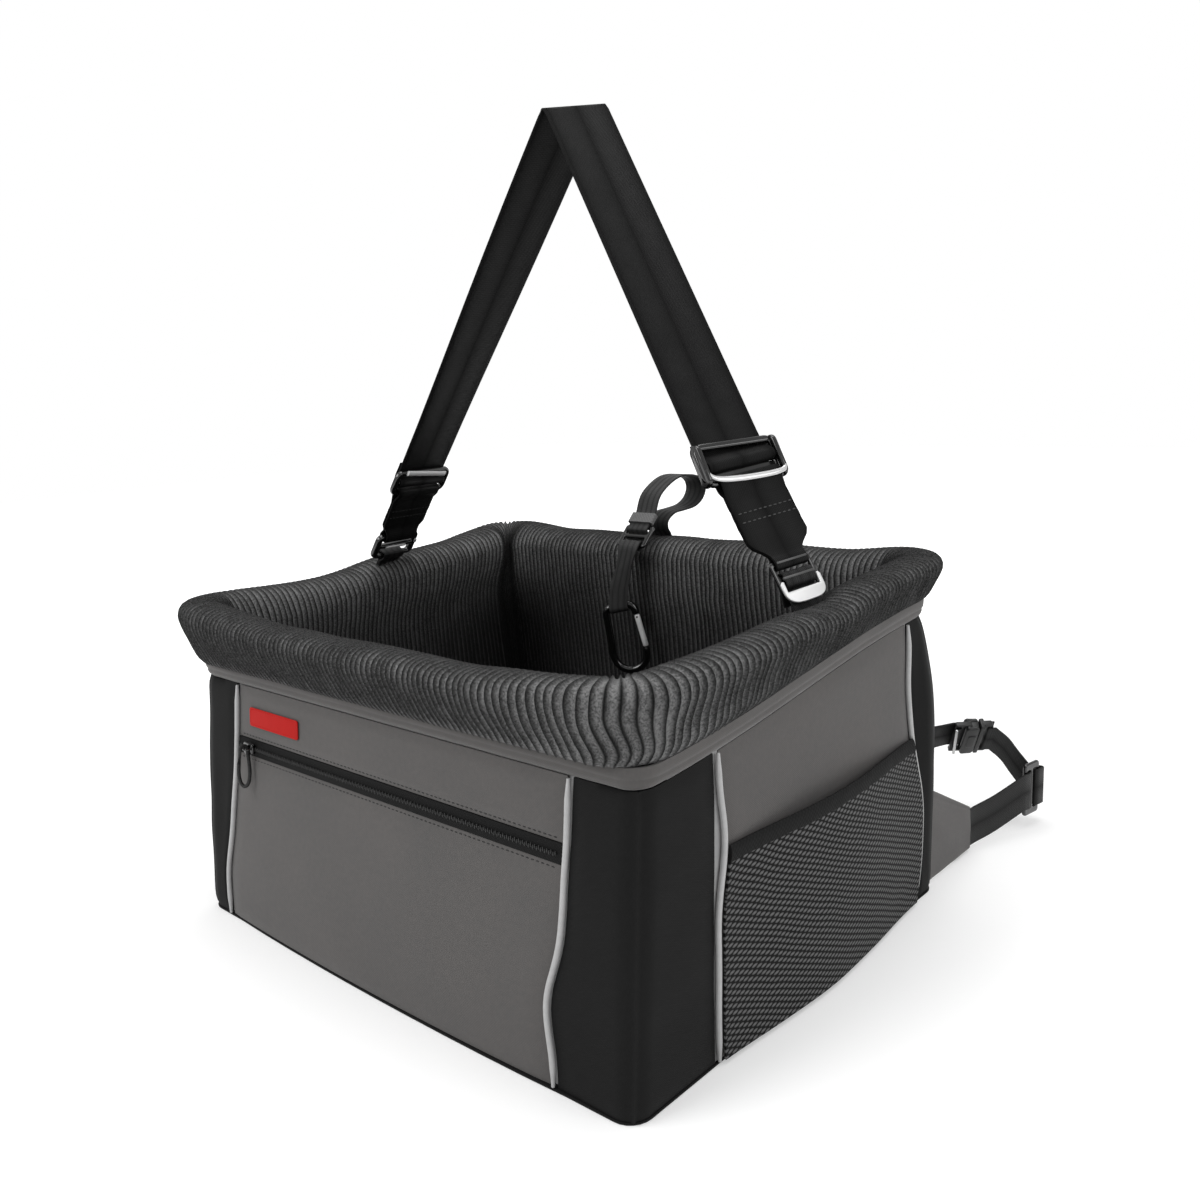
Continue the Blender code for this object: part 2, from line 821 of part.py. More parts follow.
def wrap_path(place, radius, thickness, frame_thick, half_length):
    """Webbing from behind a frame's top bar, over its middle bar and back up behind, in (Y, Z)."""
    turn = radius + gap + thickness / 2
    front = -frame_thick / 2 - gap - thickness / 2
    behind = front - thickness - gap
    path = [(place + half_length + tail_length, front), (place + half_length + thickness, front),
            (place + half_length - frame_end, front + gap)]
    for step in range(7):
        angle = between(math.radians(50), math.radians(-150), step / 6)
        path.append((place + turn * math.sin(angle), turn * math.cos(angle)))
    path += [(place + radius * 1.5, behind), (place + half_length, behind), (place + half_length + tail_length, behind)]
    return path


def strap_points(side):
    """The strap's end at one adjuster, from its straight run to its tail, as points in the leg's frame."""
    place = right_adjuster_place if side == "right" else left_adjuster_place
    radius = roller_radius if side == "right" else left_bar_radius
    length = right_frame_length if side == "right" else left_frame_length
    facing = 1 if side == "right" else -1
    path = wrap_path(place, radius, strap_thickness, frame_thickness, length / 2)
    return [Vector((0, along, facing * out)) for along, out in path]


def head_strap(look, legs):
    apex = Vector((0, strap_apex_back, strap_apex_height))
    half = strap_width / 2
    tilt = Vector((math.sin(apex_turn) * math.cos(apex_tilt), math.cos(apex_turn) * math.cos(apex_tilt),
                   math.sin(apex_tilt)))
    ends = {}
    for side, frame in legs.items():
        sign = 1 if side == "right" else -1
        spots = [frame @ spot for spot in strap_points(side)]
        edge = (frame.to_3x3() @ Vector((sign, 0, 0))) * half
        run = [(spots[0].lerp(apex, share), edge.lerp(tilt * half, ease(share))) for share in (0.25, 0.5, 0.75, 0.94)]
        ends[side] = ([(spot, edge) for spot in reversed(spots)], run)
    left_end, left_run = ends["left"]
    right_end, right_run = ends["right"]
    left_way = (apex - left_run[-1][0]).normalized()
    right_way = (apex - right_run[-1][0]).normalized()
    middle = apex - (left_way + right_way).normalized() * strap_fold_radius * 2
    fold = []
    for share in (0, 0.25, 0.5, 0.75, 1):
        way = left_way.cross(tilt).normalized() * (1 - share) - right_way.cross(tilt).normalized() * share
        fold.append((middle + way.normalized() * strap_fold_radius, tilt * half))
    stations_along = left_end + left_run + fold + right_run[::-1] + right_end[::-1]
    points = [spot for spot, edge in stations_along]
    widths = [edge for spot, edge in stations_along]
    made = ribbon("head_strap", points, widths, strap_thickness, look)
    move_origin(made, (legs["left"].translation + legs["right"].translation) / 2)


def adjuster(name, side, look, frame):
    place = right_adjuster_place if side == "right" else left_adjuster_place
    length = right_frame_length if side == "right" else left_frame_length
    low = place - length / 2
    high = place + length / 2
    inside = strap_width / 2 + loose
    framed(name, low, high, inside + frame_side, frame_thickness, frame_corner,
           [(low + frame_end, high - frame_end, inside)], look, frame)


def roller(name, side, look, frame):
    """The bar that the strap turns round, held in the adjuster's window."""
    place = right_adjuster_place if side == "right" else left_adjuster_place
    radius = roller_radius if side == "right" else left_bar_radius
    half = strap_width / 2 + loose - gap
    mesh = bmesh.new()
    turn = Matrix.Rotation(math.pi / 2, 4, "Y")
    bmesh.ops.create_cone(mesh, cap_ends=True, segments=14, radius1=radius, radius2=radius, depth=2 * half,
                          matrix=Matrix.Translation((0, place, 0)) @ turn)
    finish(mesh, name, look, frame)


def loop_path(high_bar, low_bar, thickness, high_half, low_half):
    """A flat sewn loop round two bars, as (Y, Z) places in order round the loop."""
    near = (thickness + gap) / 2
    off = thickness / 2 + gap
    high_neck = high_bar - high_half[0] - high_half[1] * 2 - off
    low_neck = low_bar + low_half[0] + low_half[1] * 2 + off
    neck = [(high_neck, -near), ((high_neck + low_neck) / 2, -near), (low_neck, -near)]
    over = bar_turn(high_bar, *high_half, off, 1)
    under = bar_turn(low_bar, *low_half, off, -1)
    return over + neck + under[::-1] + [(along, -out) for along, out in reversed(neck)]


def stub(name, look, frame, high_bar, low_bar, high_half, low_half, narrow):
    """Doubled webbing between an adjuster's lower bar and an anchor buckle's upper bar."""
    path = loop_path(high_bar, low_bar, strap_thickness, high_half, low_half)
    count = len(path)

    def place(around, section):
        y, z = path[around]
        before = path[around - 1]
        after = path[(around + 1) % count]
        way = Vector((after[0] - before[0], after[1] - before[1])).normalized()
        share = ease((y - low_bar - low_half[0] * 2) / ((high_bar - low_bar) * stub_taper_share))
        half = between(narrow, stub_wide, share) / 2
        across, skin = ((-1, 0.5), (1, 0.5), (1, -0.5), (-1, -0.5))[section]
        step = skin * strap_thickness
        return Vector((across * half, y - way.y * step, z + way.x * step))

    ring(name, place, count, 4, look, frame)


def ladder_lock(look, frame):
    """A flat lock with two slots and a rounded tongue, on the right leg."""
    slot_one = lock_low + lock_tongue
    slot_two = slot_one + lock_slot + lock_bar
    high = slot_two + lock_slot + lock_bar
    inside = anchor_width / 2 + loose
    upper_inside = right_stub_narrow / 2 + loose
    made = framed("ladder_lock", lock_low, high, upper_inside + lock_side, lock_thickness, lock_corner,
           [(slot_one, slot_one + lock_slot, inside), (slot_two, slot_two + lock_slot, upper_inside)],
           look, frame)
    move_origin(made, frame @ Vector((0, high - lock_bar / 2, 0)))
    return high - lock_bar / 2


def right_anchor(look, frame):
    """The webbing that comes out of the rim, through the ladder lock, and hangs behind as its tail."""
    slot_one = lock_low + lock_tongue
    slot_two = slot_one + lock_slot + lock_bar
    out = lock_thickness / 2 + gap + anchor_thickness / 2 + gap
    middle_one = slot_one + lock_slot / 2 - gap
    middle_two = slot_two + lock_slot / 4 + gap
    path = [(-anchor_sink, -out / 2), (0, -out / 2), (lock_low / 2, -out * 0.8), (lock_low + lock_slot / 2, -out),
            (slot_one, -out), (middle_one - gap * 3, -out * 0.8), (middle_one, 0),
            (middle_one + gap * 3, out * 0.8), (slot_one + lock_slot + gap, out), (slot_two - gap, out),
            (middle_two - gap * 3, out * 0.8), (middle_two, 0), (middle_two + gap, -out),
            (middle_two - gap, -out * 2.0), (slot_one + lock_slot, -out * 2.6),
            (slot_one, -out * 3.2), (lock_low + lock_slot / 2, -out * 4.2)]
    points = [Vector((0, *spot)) for spot in path]
    widths = [Vector((anchor_width / 2, 0, 0))] * len(points)
    ribbon("anchor_webbing_right", points, widths, anchor_thickness, look, frame)


def anchor_buckle(look, frame):
    """The left leg's buckle, with one window for the anchor webbing and one for the strap's loop."""
    window_one = buckle_low + buckle_bar
    window_two = window_one + buckle_slot + buckle_middle
    high = window_two + buckle_slot + buckle_bar
    inside = left_stub_narrow / 2 + loose
    framed("anchor_buckle", buckle_low, high, inside + buckle_side, buckle_thickness, buckle_corner,
           [(window_one, window_one + buckle_slot, inside), (window_two, window_two + buckle_slot, inside)],
           look, frame)
    return high - buckle_bar / 2


def left_anchor(look, frame):
    """Webbing from the rim round the left buckle's lower bar and back."""
    bar = buckle_low + buckle_bar / 2
    near = (anchor_thickness + gap) / 2
    off = anchor_thickness / 2 + gap
    neck = buckle_low - buckle_thickness / 2 - off
    turn = bar_turn(bar, buckle_bar / 2, buckle_thickness / 2, off, 1)
    path = [(-anchor_sink, near), (0, near), (neck, near), *turn, (neck, -near), (0, -near), (-anchor_sink, -near)]
    points = [Vector((0, *spot)) for spot in path]
    widths = [Vector((anchor_width / 2, 0, 0))] * len(points)
    ribbon("anchor_webbing_left", points, widths, anchor_thickness, look, frame)


# Tether

def tether_frame():
    """A frame at the tether's slider: X along the back wall, Y up the slider, Z towards the front."""
    up = Vector((0, math.sin(tether_slider_tilt), math.cos(tether_slider_tilt)))
    across = Vector((1, 0, 0))
    out = across.cross(up)
    columns = Matrix((across, up, out)).transposed().to_4x4()
    origin = Vector((tether_place, tether_slider_back, tether_slider_height))
    return Matrix.Translation(origin) @ columns


def tether(web_look, hard_look, keeper_look):
    frame = tether_frame()
    inside = tether_width / 2 + loose
    half_bar = tether_slider_bar / 2
    reach = half_bar + tether_slider_slot + tether_slider_bar
    framed("tether_slider", -reach, reach, inside + tether_slider_side, tether_slider_thickness, tether_corner,
           [(-half_bar - tether_slider_slot, -half_bar, inside), (half_bar, half_bar + tether_slider_slot, inside)],
           hard_look, frame)
    lift = tether_thickness / 2 + gap
    out = tether_slider_thickness / 2 + lift
    edge = Vector((tether_width / 2, 0, 0))
    back_station = ((1, 1), (-1, 1), math.pi / 2, 0.5)
    skin = [roll_point(back_station, share) for share in roll_section_shares[3:8]]
    over = []
    for point, way in zip(skin, directions(skin)):
        over.append(Vector((tether_place, point.y, point.z)) + Vector((0, way.z, -way.y)) * lift * 1.3)
    slack = [Vector((tether_place, half_base_depth + back * mm, back_rim_height + high * mm))
             for back, high in tether_slack]
    keeper_low = reach + gap * 3
    keeper_high = keeper_low + keeper_length
    keeper_end = frame @ Vector((0, keeper_high + keeper_wall, out))
    points = smooth_path([*over, *slack, keeper_end], 2)
    window = half_bar + tether_slider_slot / 2
    for spot in ((keeper_low - keeper_wall / 2, out), (reach - half_bar, out), (window + lift, out),
                 (window, 0), (window - lift, -out), (-half_bar, -out)):
        points.append(frame @ Vector((0, *spot)))
    ribbon("tether_webbing", points, [edge] * len(points), tether_thickness, web_look)

    room = lift
    keeper = block("tether_keeper", (-inside - keeper_wall, keeper_low, out - room - keeper_wall),
                   (inside + keeper_wall, keeper_high, out + room + keeper_wall),
                   keeper_look, frame, corner=keeper_wall, edge_axis=1, corner_steps=2)
    cut(keeper, block("keeper cutter", (-inside, keeper_low - cut_overrun, out - room),
                      (inside, keeper_high + cut_overrun, out + room), keeper_look, frame))

    # The drop from the slider's lower bar to the carabiner
    eye = carabiner_frame()
    eye_edge = (eye.to_3x3() @ Vector((1, 0, 0))) * carabiner_eye_half
    low_bar = half_bar + tether_slider_slot + half_bar
    turn = bar_turn(-low_bar, half_bar, tether_slider_thickness / 2, lift, 1)
    drop = [(-reach - half_bar, -out), *reversed(turn), (-reach - half_bar, out * 0.9)]
    drop = [(frame @ Vector((0, *spot)), edge) for spot in drop]
    last = drop[-1][0]
    round_bar = carabiner_radius + lift
    first_eye = eye @ Vector((0, -round_bar, round_bar * 1.6))
    for share in (0.35, 0.7):
        drop.append((last.lerp(first_eye, share), edge.lerp(eye_edge, share)))
    for step in range(8):
        angle = between(math.radians(10), math.radians(-235), step / 7)
        spot = Vector((0, -round_bar * math.cos(angle), round_bar * math.sin(angle)))
        drop.append((eye @ spot, eye_edge))
    points = [spot for spot, half in drop]
    widths = [half for spot, half in drop]
    made = ribbon("tether_drop", points, widths, tether_thickness, web_look)
    move_origin(made, frame @ Vector((0, -low_bar, 0)))


def carabiner_frame():
    """A frame at the middle of the carabiner's top bar: X along the bar, Z up."""
    slider = tether_frame().translation
    origin = slider + Vector((carabiner_lean, -carabiner_forward, -carabiner_drop))
    turn = Matrix.Rotation(carabiner_turn, 4, "Z")
    tilt = Matrix.Rotation(-carabiner_tilt, 4, "Y")
    return Matrix.Translation(origin) @ turn @ tilt


def carabiner(body_look, gate_look):
    frame = carabiner_frame()
    top = carabiner_top_half
    low = carabiner_low_half
    long = carabiner_length
    hinge = Vector((top + carabiner_radius / 2, 0, -gate_top))
    nose = Vector((low, 0, -gate_low))
    way = (nose - hinge).normalized()
    path = [hinge - way * gate_room, (top * 1.04, 0, -top * 0.3), (top * 0.8, 0, 0), (top * 0.5, 0, 0),
            (-top * 0.5, 0, 0), (-top * 0.8, 0, 0), (-top * 1.04, 0, -top * 0.3), (-top * 1.1, 0, -top * 0.9),
            (-low * 0.95, 0, -long * 0.55), (-low, 0, -long * 0.72), (-low * 0.8, 0, -long * 0.9),
            (-low * 0.3, 0, -long), (low * 0.3, 0, -long), (low * 0.82, 0, -long * 0.9),
            nose + way * gate_room]
    body = smooth_path(path, 2)
    wire("carabiner_body", body, carabiner_radius, body_look, frame=frame)
    length = (nose - hinge).length
    turn = Vector((0, 0, 1)).rotation_difference(way).to_matrix().to_4x4()
    gate_frame = frame @ Matrix.Translation(hinge) @ turn
    mesh = bmesh.new()
    bmesh.ops.create_cone(mesh, cap_ends=True, segments=12, radius1=gate_radius, radius2=gate_radius,
                          depth=length - 2 * gap, matrix=Matrix.Translation((0, 0, length / 2)))
    finish(mesh, "carabiner_gate", gate_look, gate_frame)


# Rear belt

def belt_wing(side, look):
    sign = 1 if side == "right" else -1
    inner = wing_out - wing_thickness / 2

    def root(height):
        beside = inner - (half_width(height) - corner_radius)
        middle = half_depth(height) - corner_radius
        return middle + math.sqrt(corner_radius ** 2 - beside ** 2) + gap

    def place(across, up, skin):
        tip = between(wing_low, wing_tip_height, up)
        start = between(wing_low, wing_root_height, up)
        height = between(start, tip, across)
        back = between(root(start), wing_back, across)
        out = wing_out + (skin - 0.5) * wing_thickness
        return Vector((sign * out, back, height))

    sheet(f"belt_wing_{side}", place, 4, 4, look)


def glide_frame():
    """A frame at the belt's glide: X up, Y along the webbing, Z towards the middle of the box."""
    along = Vector((math.cos(glide_turn), math.sin(glide_turn), 0))
    up = Vector((0, 0, 1))
    out = up.cross(along)
    columns = Matrix((up, along, out)).transposed().to_4x4()
    origin = Vector((glide_out, glide_back, glide_height))
    return Matrix.Translation(origin) @ columns


def rear_belt(web_look, wing_look, hard_look):
    for side in ("right", "left"):
        belt_wing(side, wing_look)
    frame = glide_frame()
    inside = belt_width / 2 + loose
    window = glide_middle_bar / 2 + glide_slot / 2
    reach = glide_middle_bar / 2 + glide_slot + glide_bar
    framed("belt_glide", -reach, reach, inside + glide_side, glide_thickness, glide_corner,
           [(-window - glide_slot / 2, -window + glide_slot / 2, inside),
            (window - glide_slot / 2, window + glide_slot / 2, inside)], hard_look, frame)

    half = belt_width / 2
    low_middle = belt_low + half
    edge = Vector((0, 0, half))
    wing_face = wing_out - wing_thickness / 2 - gap - belt_thickness / 2
    lift = gap + belt_thickness / 2
    out = glide_thickness / 2 + lift
    weave = [frame @ Vector((0, along, side)) for along, side in (
        (-reach - glide_bar, -out), (-window - lift, -out), (-window, 0), (-window + lift, out),
        (window - lift, out), (window, 0), (window + lift, -out), (reach + glide_bar, -out))]
    wing_end = [Vector((wing_face, wing_back - wing_lap, low_middle)), Vector((wing_face, wing_back, low_middle)),
                Vector((wing_face + belt_thickness, wing_back + wing_lap / 2, low_middle + belt_low)),
                Vector((wing_face + belt_thickness * 6, wing_back + wing_lap * 1.4, low_middle + belt_low * 5))]
    tilted = buckle_frame().to_3x3() @ edge
    plug_end = socket_left + socket_length + gap + plug_shoulder + buckle_window + plug_bar
    meet = plug_turn(plug_end - plug_bar / 2, 1)[::-1]
    turn = [frame @ Vector((0, reach + along * mm, side * mm)) for along, side in glide_turn_places]
    bend = [weave[-1], *turn, *[Vector(spot) * mm for spot in belt_run_places], meet[0]]
    straight = smooth_path([*wing_end, weave[0]], 3) + weave[1:-1]
    bent = smooth_path(bend, 2)
    edges = [edge] * len(straight)
    edges += [edge.lerp(tilted, ease(index / (len(bent) - 1))) for index in range(len(bent))]
    edges += [tilted] * len(meet[1:])
    ribbon("belt_webbing_right", straight + bent + meet[1:], edges, belt_thickness, web_look)

    meet = plug_turn(socket_left - buckle_window - plug_bar / 2, -1)
    route = [meet[0], *[Vector(spot) * mm for spot in belt_left_places],
             Vector((-wing_face, wing_back + wing_lap / 2, low_middle)),
             Vector((-wing_face, wing_back, low_middle)), Vector((-wing_face, wing_back - wing_lap, low_middle))]
    bent = smooth_path(route, 4)
    edges = [tilted] * len(meet[1:])
    edges += [tilted.lerp(edge, ease(2 * index / (len(bent) - 1))) for index in range(len(bent))]
    ribbon("belt_webbing_left", meet[:0:-1] + bent, edges, belt_thickness, web_look)
    side_release_buckle(hard_look)


def buckle_frame():
    """A frame at the socket's end bar: X along the buckle, Z across the webbing, its top leaning forwards."""
    place = Matrix.Translation((buckle_out, buckle_back, buckle_height))
    return place @ Matrix.Rotation(buckle_turn, 4, "Z") @ Matrix.Rotation(buckle_tilt, 4, "X")


def plug_turn(middle, sign):
    """Webbing that comes in behind a buckle's end bar, turns in its window and ends in front."""
    off = gap + belt_thickness / 2
    spots = bar_turn(middle, plug_bar / 2, buckle_bar_half, off, -sign)
    beyond = middle + sign * (plug_bar / 2 + sewn_lap)
    out = buckle_bar_half + off
    spots = [(beyond, out), *spots, (beyond, -out)]
    frame = buckle_frame()
    return [frame @ Vector((along, side, 0)) for along, side in spots]


def side_release_buckle(look):
    half = belt_width / 2 + loose
    outer = half + buckle_edge
    right = socket_left + socket_length
    frame = buckle_frame()
    thick = socket_thickness / 2
    low = socket_left - buckle_window - plug_bar
    socket = block("belt_socket", (low, -thick, -outer), (right, thick, outer), look, frame,
                   corner=buckle_edge, edge_axis=1, corner_steps=2)
    cavity = prong_thickness / 2 + gap * 2
    cut(socket, block("socket cavity cutter", (socket_left + socket_wall, -cavity, -half + socket_wall),
                      (right + cut_overrun, cavity, half - socket_wall), look, frame))
    for sign in (-1, 1):
        edge = sorted((sign * (half - socket_wall - gap), sign * (outer + cut_overrun)))
        window = (socket_left + socket_length * 0.3, socket_left + socket_length * 0.7)
        cut(socket, block(f"socket side cutter {sign}", (window[0], -cavity, edge[0]), (window[1], cavity, edge[1]),
                          look, frame))
    cut(socket, block("socket window cutter", (socket_left - buckle_window, -socket_thickness, -half),
                      (socket_left, socket_thickness, half), look, frame))
    for sign in (-1, 1):
        face = sorted((sign * buckle_bar_half, sign * socket_thickness))
        cut(socket, block(f"socket bar cutter {sign}", (low - cut_overrun, face[0], -half),
                          (socket_left - gap, face[1], half), look, frame))

    start = right + gap
    shoulder = start + plug_shoulder
    end = shoulder + buckle_window + plug_bar
    plug = block("belt_plug", (start, -thick, -outer), (end, thick, outer), look, frame,
                 corner=buckle_edge, edge_axis=1, corner_steps=2)
    cut(plug, block("plug window cutter", (shoulder, -socket_thickness, -half),
                    (shoulder + buckle_window, socket_thickness, half), look, frame))
    for sign in (-1, 1):
        face = sorted((sign * buckle_bar_half, sign * socket_thickness))
        cut(plug, block(f"plug bar cutter {sign}", (shoulder + gap, face[0], -half),
                        (end + cut_overrun, face[1], half), look, frame))
    reach = half - socket_wall - gap
    for sign in (-1, 1):
        prong = sorted((sign * (reach - prong_width), sign * reach))
        made = block(f"plug prong guide {sign}", (start - prong_length, -prong_thickness / 2, prong[0]),
                     (start + gap, prong_thickness / 2, prong[1]), look, frame,
                     corner=prong_thickness / 2, edge_axis=1, corner_steps=2)
        cut(plug, made, "UNION")


def main():
    clear_scene()
    grey = surface("grey cloth", (0.115, 0.108, 0.104), 0.85)
    black = surface("black cloth", (0.016, 0.016, 0.017), 0.75)
    plush = surface("grey plush", (0.085, 0.085, 0.088), 0.95)
    foam = surface("foam board", (0.3, 0.3, 0.3), 0.9)
    net = surface("black net", (0.03, 0.03, 0.03), 0.8)
    light = surface("light piping", (0.5, 0.5, 0.5), 0.45)
    webbing = surface("black webbing", (0.012, 0.012, 0.013), 0.55)
    dark_tape = surface("zip tape", (0.014, 0.014, 0.015), 0.7)
    hard = surface("black plastic", (0.01, 0.01, 0.011), 0.3)
    steel = surface("bright steel", (0.75, 0.75, 0.76), 0.25, 1.0)
    enamel = surface("black enamel", (0.008, 0.008, 0.009), 0.2)
    red = surface("red patch", (0.65, 0.035, 0.02), 0.6)

    floor_plate("bottom_panel", 0, fabric_thickness, 0, black)
    floor_plate("base_board", wall_low, floor_top, board_inner + gap, foam)
    for side in ("front", "back", "left", "right"):
        board(f"{side}_board", side, foam)
    skin = (0, fabric_thickness)
    wall_slab("front_panel_upper", "front", zip_high, None, skin, grey)
    wall_slab("front_panel_lower", "front", wall_low, zip_low, skin, grey)
    lining_skin = (board_outer, board_outer + lining_thickness)
    wall_slab("pocket_lining", "front", lining_low, zip_high, lining_skin, black)
    wall_slab("right_panel", "right", wall_low, None, skin, grey, columns=6)
    wall_slab("left_panel", "left", wall_low, None, skin, grey, columns=6)
    wall_slab("back_panel", "back", wall_low, None, skin, grey, edge_room=gap)
    for signs in corner_signs:
        face = "front" if signs[1] < 0 else "back"
        hand = "right" if signs[0] > 0 else "left"
        corner_panel(f"corner_panel_{face}_{hand}", signs, black)
    pipings(light)
    collar_band(grey)
    liner(plush)
    floor_pad(plush)
    legs = {side: leg_frame(side) for side in ("left", "right")}
    collar(plush, legs)

    zip_fastener(dark_tape, enamel, hard)
    patch_right = patch_left + patch_width

    def patch_place(across, up, skin_share):
        return wall_point("front", between(patch_left, patch_right, across),
                          between(patch_low, patch_low + patch_height, up),
                          -gap - skin_share * patch_thickness)

    sheet("patch", patch_place, 1, 1, red)
    for side in ("right", "left"):
        side_pocket(side, net, black)

    head_strap(webbing, legs)
    for side, frame in legs.items():
        adjuster(f"strap_adjuster_{side}", side, enamel, frame)
        roller(f"strap_roller_{side}", side, enamel, frame)
    bar_half = (frame_end / 2, frame_thickness / 2)
    lock_bar_place = ladder_lock(steel, legs["right"])
    stub("strap_stub_right", webbing, legs["right"], right_adjuster_place - right_frame_length / 2 + frame_end / 2,
         lock_bar_place, bar_half, (lock_bar / 2, lock_thickness / 2), right_stub_narrow)
    right_anchor(webbing, legs["right"])
    buckle_bar_place = anchor_buckle(hard, legs["left"])
    stub("strap_stub_left", webbing, legs["left"], left_adjuster_place - left_frame_length / 2 + frame_end / 2,
         buckle_bar_place, bar_half, (buckle_bar / 2, buckle_thickness / 2), left_stub_narrow)
    left_anchor(webbing, legs["left"])

    tether(webbing, hard, net)
    carabiner(enamel, steel)
    rear_belt(webbing, grey, hard)


main()
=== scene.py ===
import json
import math

import bmesh
import bpy
from mathutils import Matrix, Vector, noise

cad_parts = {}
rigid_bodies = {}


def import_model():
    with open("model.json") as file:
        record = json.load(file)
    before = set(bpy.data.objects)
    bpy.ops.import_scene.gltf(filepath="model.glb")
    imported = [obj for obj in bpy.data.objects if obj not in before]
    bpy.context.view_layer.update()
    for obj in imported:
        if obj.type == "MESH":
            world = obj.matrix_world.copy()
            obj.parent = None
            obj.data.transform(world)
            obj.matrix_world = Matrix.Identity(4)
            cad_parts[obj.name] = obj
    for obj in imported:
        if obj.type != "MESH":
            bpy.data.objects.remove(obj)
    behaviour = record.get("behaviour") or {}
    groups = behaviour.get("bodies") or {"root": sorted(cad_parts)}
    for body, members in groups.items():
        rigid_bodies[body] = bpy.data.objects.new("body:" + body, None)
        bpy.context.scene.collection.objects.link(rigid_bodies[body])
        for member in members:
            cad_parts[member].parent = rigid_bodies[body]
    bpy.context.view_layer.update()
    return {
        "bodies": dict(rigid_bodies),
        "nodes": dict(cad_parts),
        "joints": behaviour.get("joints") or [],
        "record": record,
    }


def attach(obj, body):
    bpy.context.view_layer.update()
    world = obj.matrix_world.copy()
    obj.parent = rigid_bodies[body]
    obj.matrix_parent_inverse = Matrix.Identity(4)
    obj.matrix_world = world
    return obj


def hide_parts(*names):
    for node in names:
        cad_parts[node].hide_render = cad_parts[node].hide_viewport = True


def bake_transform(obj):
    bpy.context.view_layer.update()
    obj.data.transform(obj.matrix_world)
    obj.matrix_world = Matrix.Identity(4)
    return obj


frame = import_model()
mm = 0.001
clearance = 0.3 * mm

# The camera stands where the photograph was taken from
camera = {
    "place": (0.5277, -0.5284, 0.3687),
    "azimuth": 42.348,
    "elevation": 11.446,
    "roll": -2.776,
    "lens": 33.087,
    "sensor": 36.0,
}


def addObject(name, data):
    made = bpy.data.objects.new(name, data)
    bpy.context.scene.collection.objects.link(made)
    return made


def makeCamera():
    azimuth = math.radians(camera["azimuth"])
    elevation = math.radians(camera["elevation"])
    back = Vector((math.sin(azimuth) * math.cos(elevation), -math.cos(azimuth) * math.cos(elevation),
                   math.sin(elevation)))
    level = (-back).to_track_quat("-Z", "Y").to_matrix().to_4x4()
    data = bpy.data.cameras.new("camera")
    data.lens = camera["lens"]
    data.sensor_width = camera["sensor"]
    data.clip_start = 0.01
    made = addObject("camera", data)
    roll = Matrix.Rotation(math.radians(camera["roll"]), 4, "Z")
    made.matrix_world = Matrix.Translation(camera["place"]) @ level @ roll
    bpy.context.scene.camera = made


makeCamera()

# Sizes that the looks share with the CAD part, in metres
box = {
    "halfWidth": 205.5 * mm,
    "halfDepth": 168.5 * mm,
    "widthFlare": -1 * mm,
    "depthLean": 16 * mm,
    "frontSeam": 172 * mm,
    "backSeam": 203 * mm,
    "frontRoll": 35 * mm,
    "backRoll": 23 * mm,
    "cornerRise": 7 * mm,
    "cornerRiseWidth": 120 * mm,
    "cornerRiseDepth": 130 * mm,
    "corner": 14 * mm,
    "cloth": 1.5 * mm,
    "wallLow": 1.8 * mm,
    "linerOuter": 8.6 * mm,
    "linerInner": 11.6 * mm,
    "floorTop": 5.8 * mm,
    "bandHeight": 13 * mm,
    "bandFlare": 3 * mm,
    "rollHalf": 24 * mm,
    "rollCorner": 27 * mm,
    "rollFrontShift": 6 * mm,
}


def ease(share):
    share = min(max(share, 0), 1)
    return share * share * (3 - 2 * share)


def between(start, end, share):
    return start + (end - start) * share


def halfWidth(height):
    return box["halfWidth"] + box["widthFlare"] * height / box["frontSeam"]


def halfDepth(height):
    return box["halfDepth"] - box["depthLean"] * height / box["frontSeam"]


def backShare(back):
    return ease((back + box["halfDepth"]) / (2 * box["halfDepth"]))


def seamHeight(back):
    return between(box["frontSeam"], box["backSeam"], backShare(back))


def rimHeight(back):
    return seamHeight(back) + box["bandHeight"] + between(box["frontRoll"], box["backRoll"], backShare(back))


def wallPoint(side, along, height, depth):
    acrossDepth = halfDepth(height) - depth
    acrossWidth = halfWidth(height) - depth
    places = {
        "front": (along, -acrossDepth, height),
        "back": (along, acrossDepth, height),
        "right": (acrossWidth, along, height),
        "left": (-acrossWidth, along, height),
    }
    return Vector(places[side])


# Where each wall's piping runs: its foot, its top, and the height of its top, for the lesser and the greater end
pipingEnds = {
    ("front", -1): (-174 * mm, -158 * mm, box["frontSeam"]),
    ("front", 1): (150 * mm, 158 * mm, box["frontSeam"]),
    ("back", -1): (-158 * mm, -158 * mm, box["backSeam"]),
    ("back", 1): (158 * mm, 158 * mm, box["backSeam"]),
    ("side", -1): (-97 * mm, -90 * mm, box["frontSeam"]),
    ("side", 1): (139 * mm, 120 * mm, box["backSeam"]),
}

# Uneven places of the sewing: size in mm, place and width as shares of the piping's height
pipingWaves = {
    ("right", -1): ((5, 0.74, 0.15),),
    ("right", 1): ((8, 0.35, 0.2), (-6, 0, 0.12), (2.5, 0.93, 0.1)),
    ("front", 1): ((-7, 0.27, 0.16),),
    ("front", -1): ((-4, 0.2, 0.15),),
}


# Cloth leaves this much room for the piping's half width
pipingRoom = 2.1 * mm


def pipingPlace(side, end, height):
    foot, top, reach = pipingEnds[(side if side in ("front", "back") else "side", end)]
    drift = 0.8 * mm * noise.noise(Vector((height * 30, end * 3, len(side))))
    for size, share, width in pipingWaves.get((side, end), ()):
        drift += size * mm * math.exp(-((height / reach - share) / width) ** 2)
    return between(foot, top, ease(height / reach)) + drift


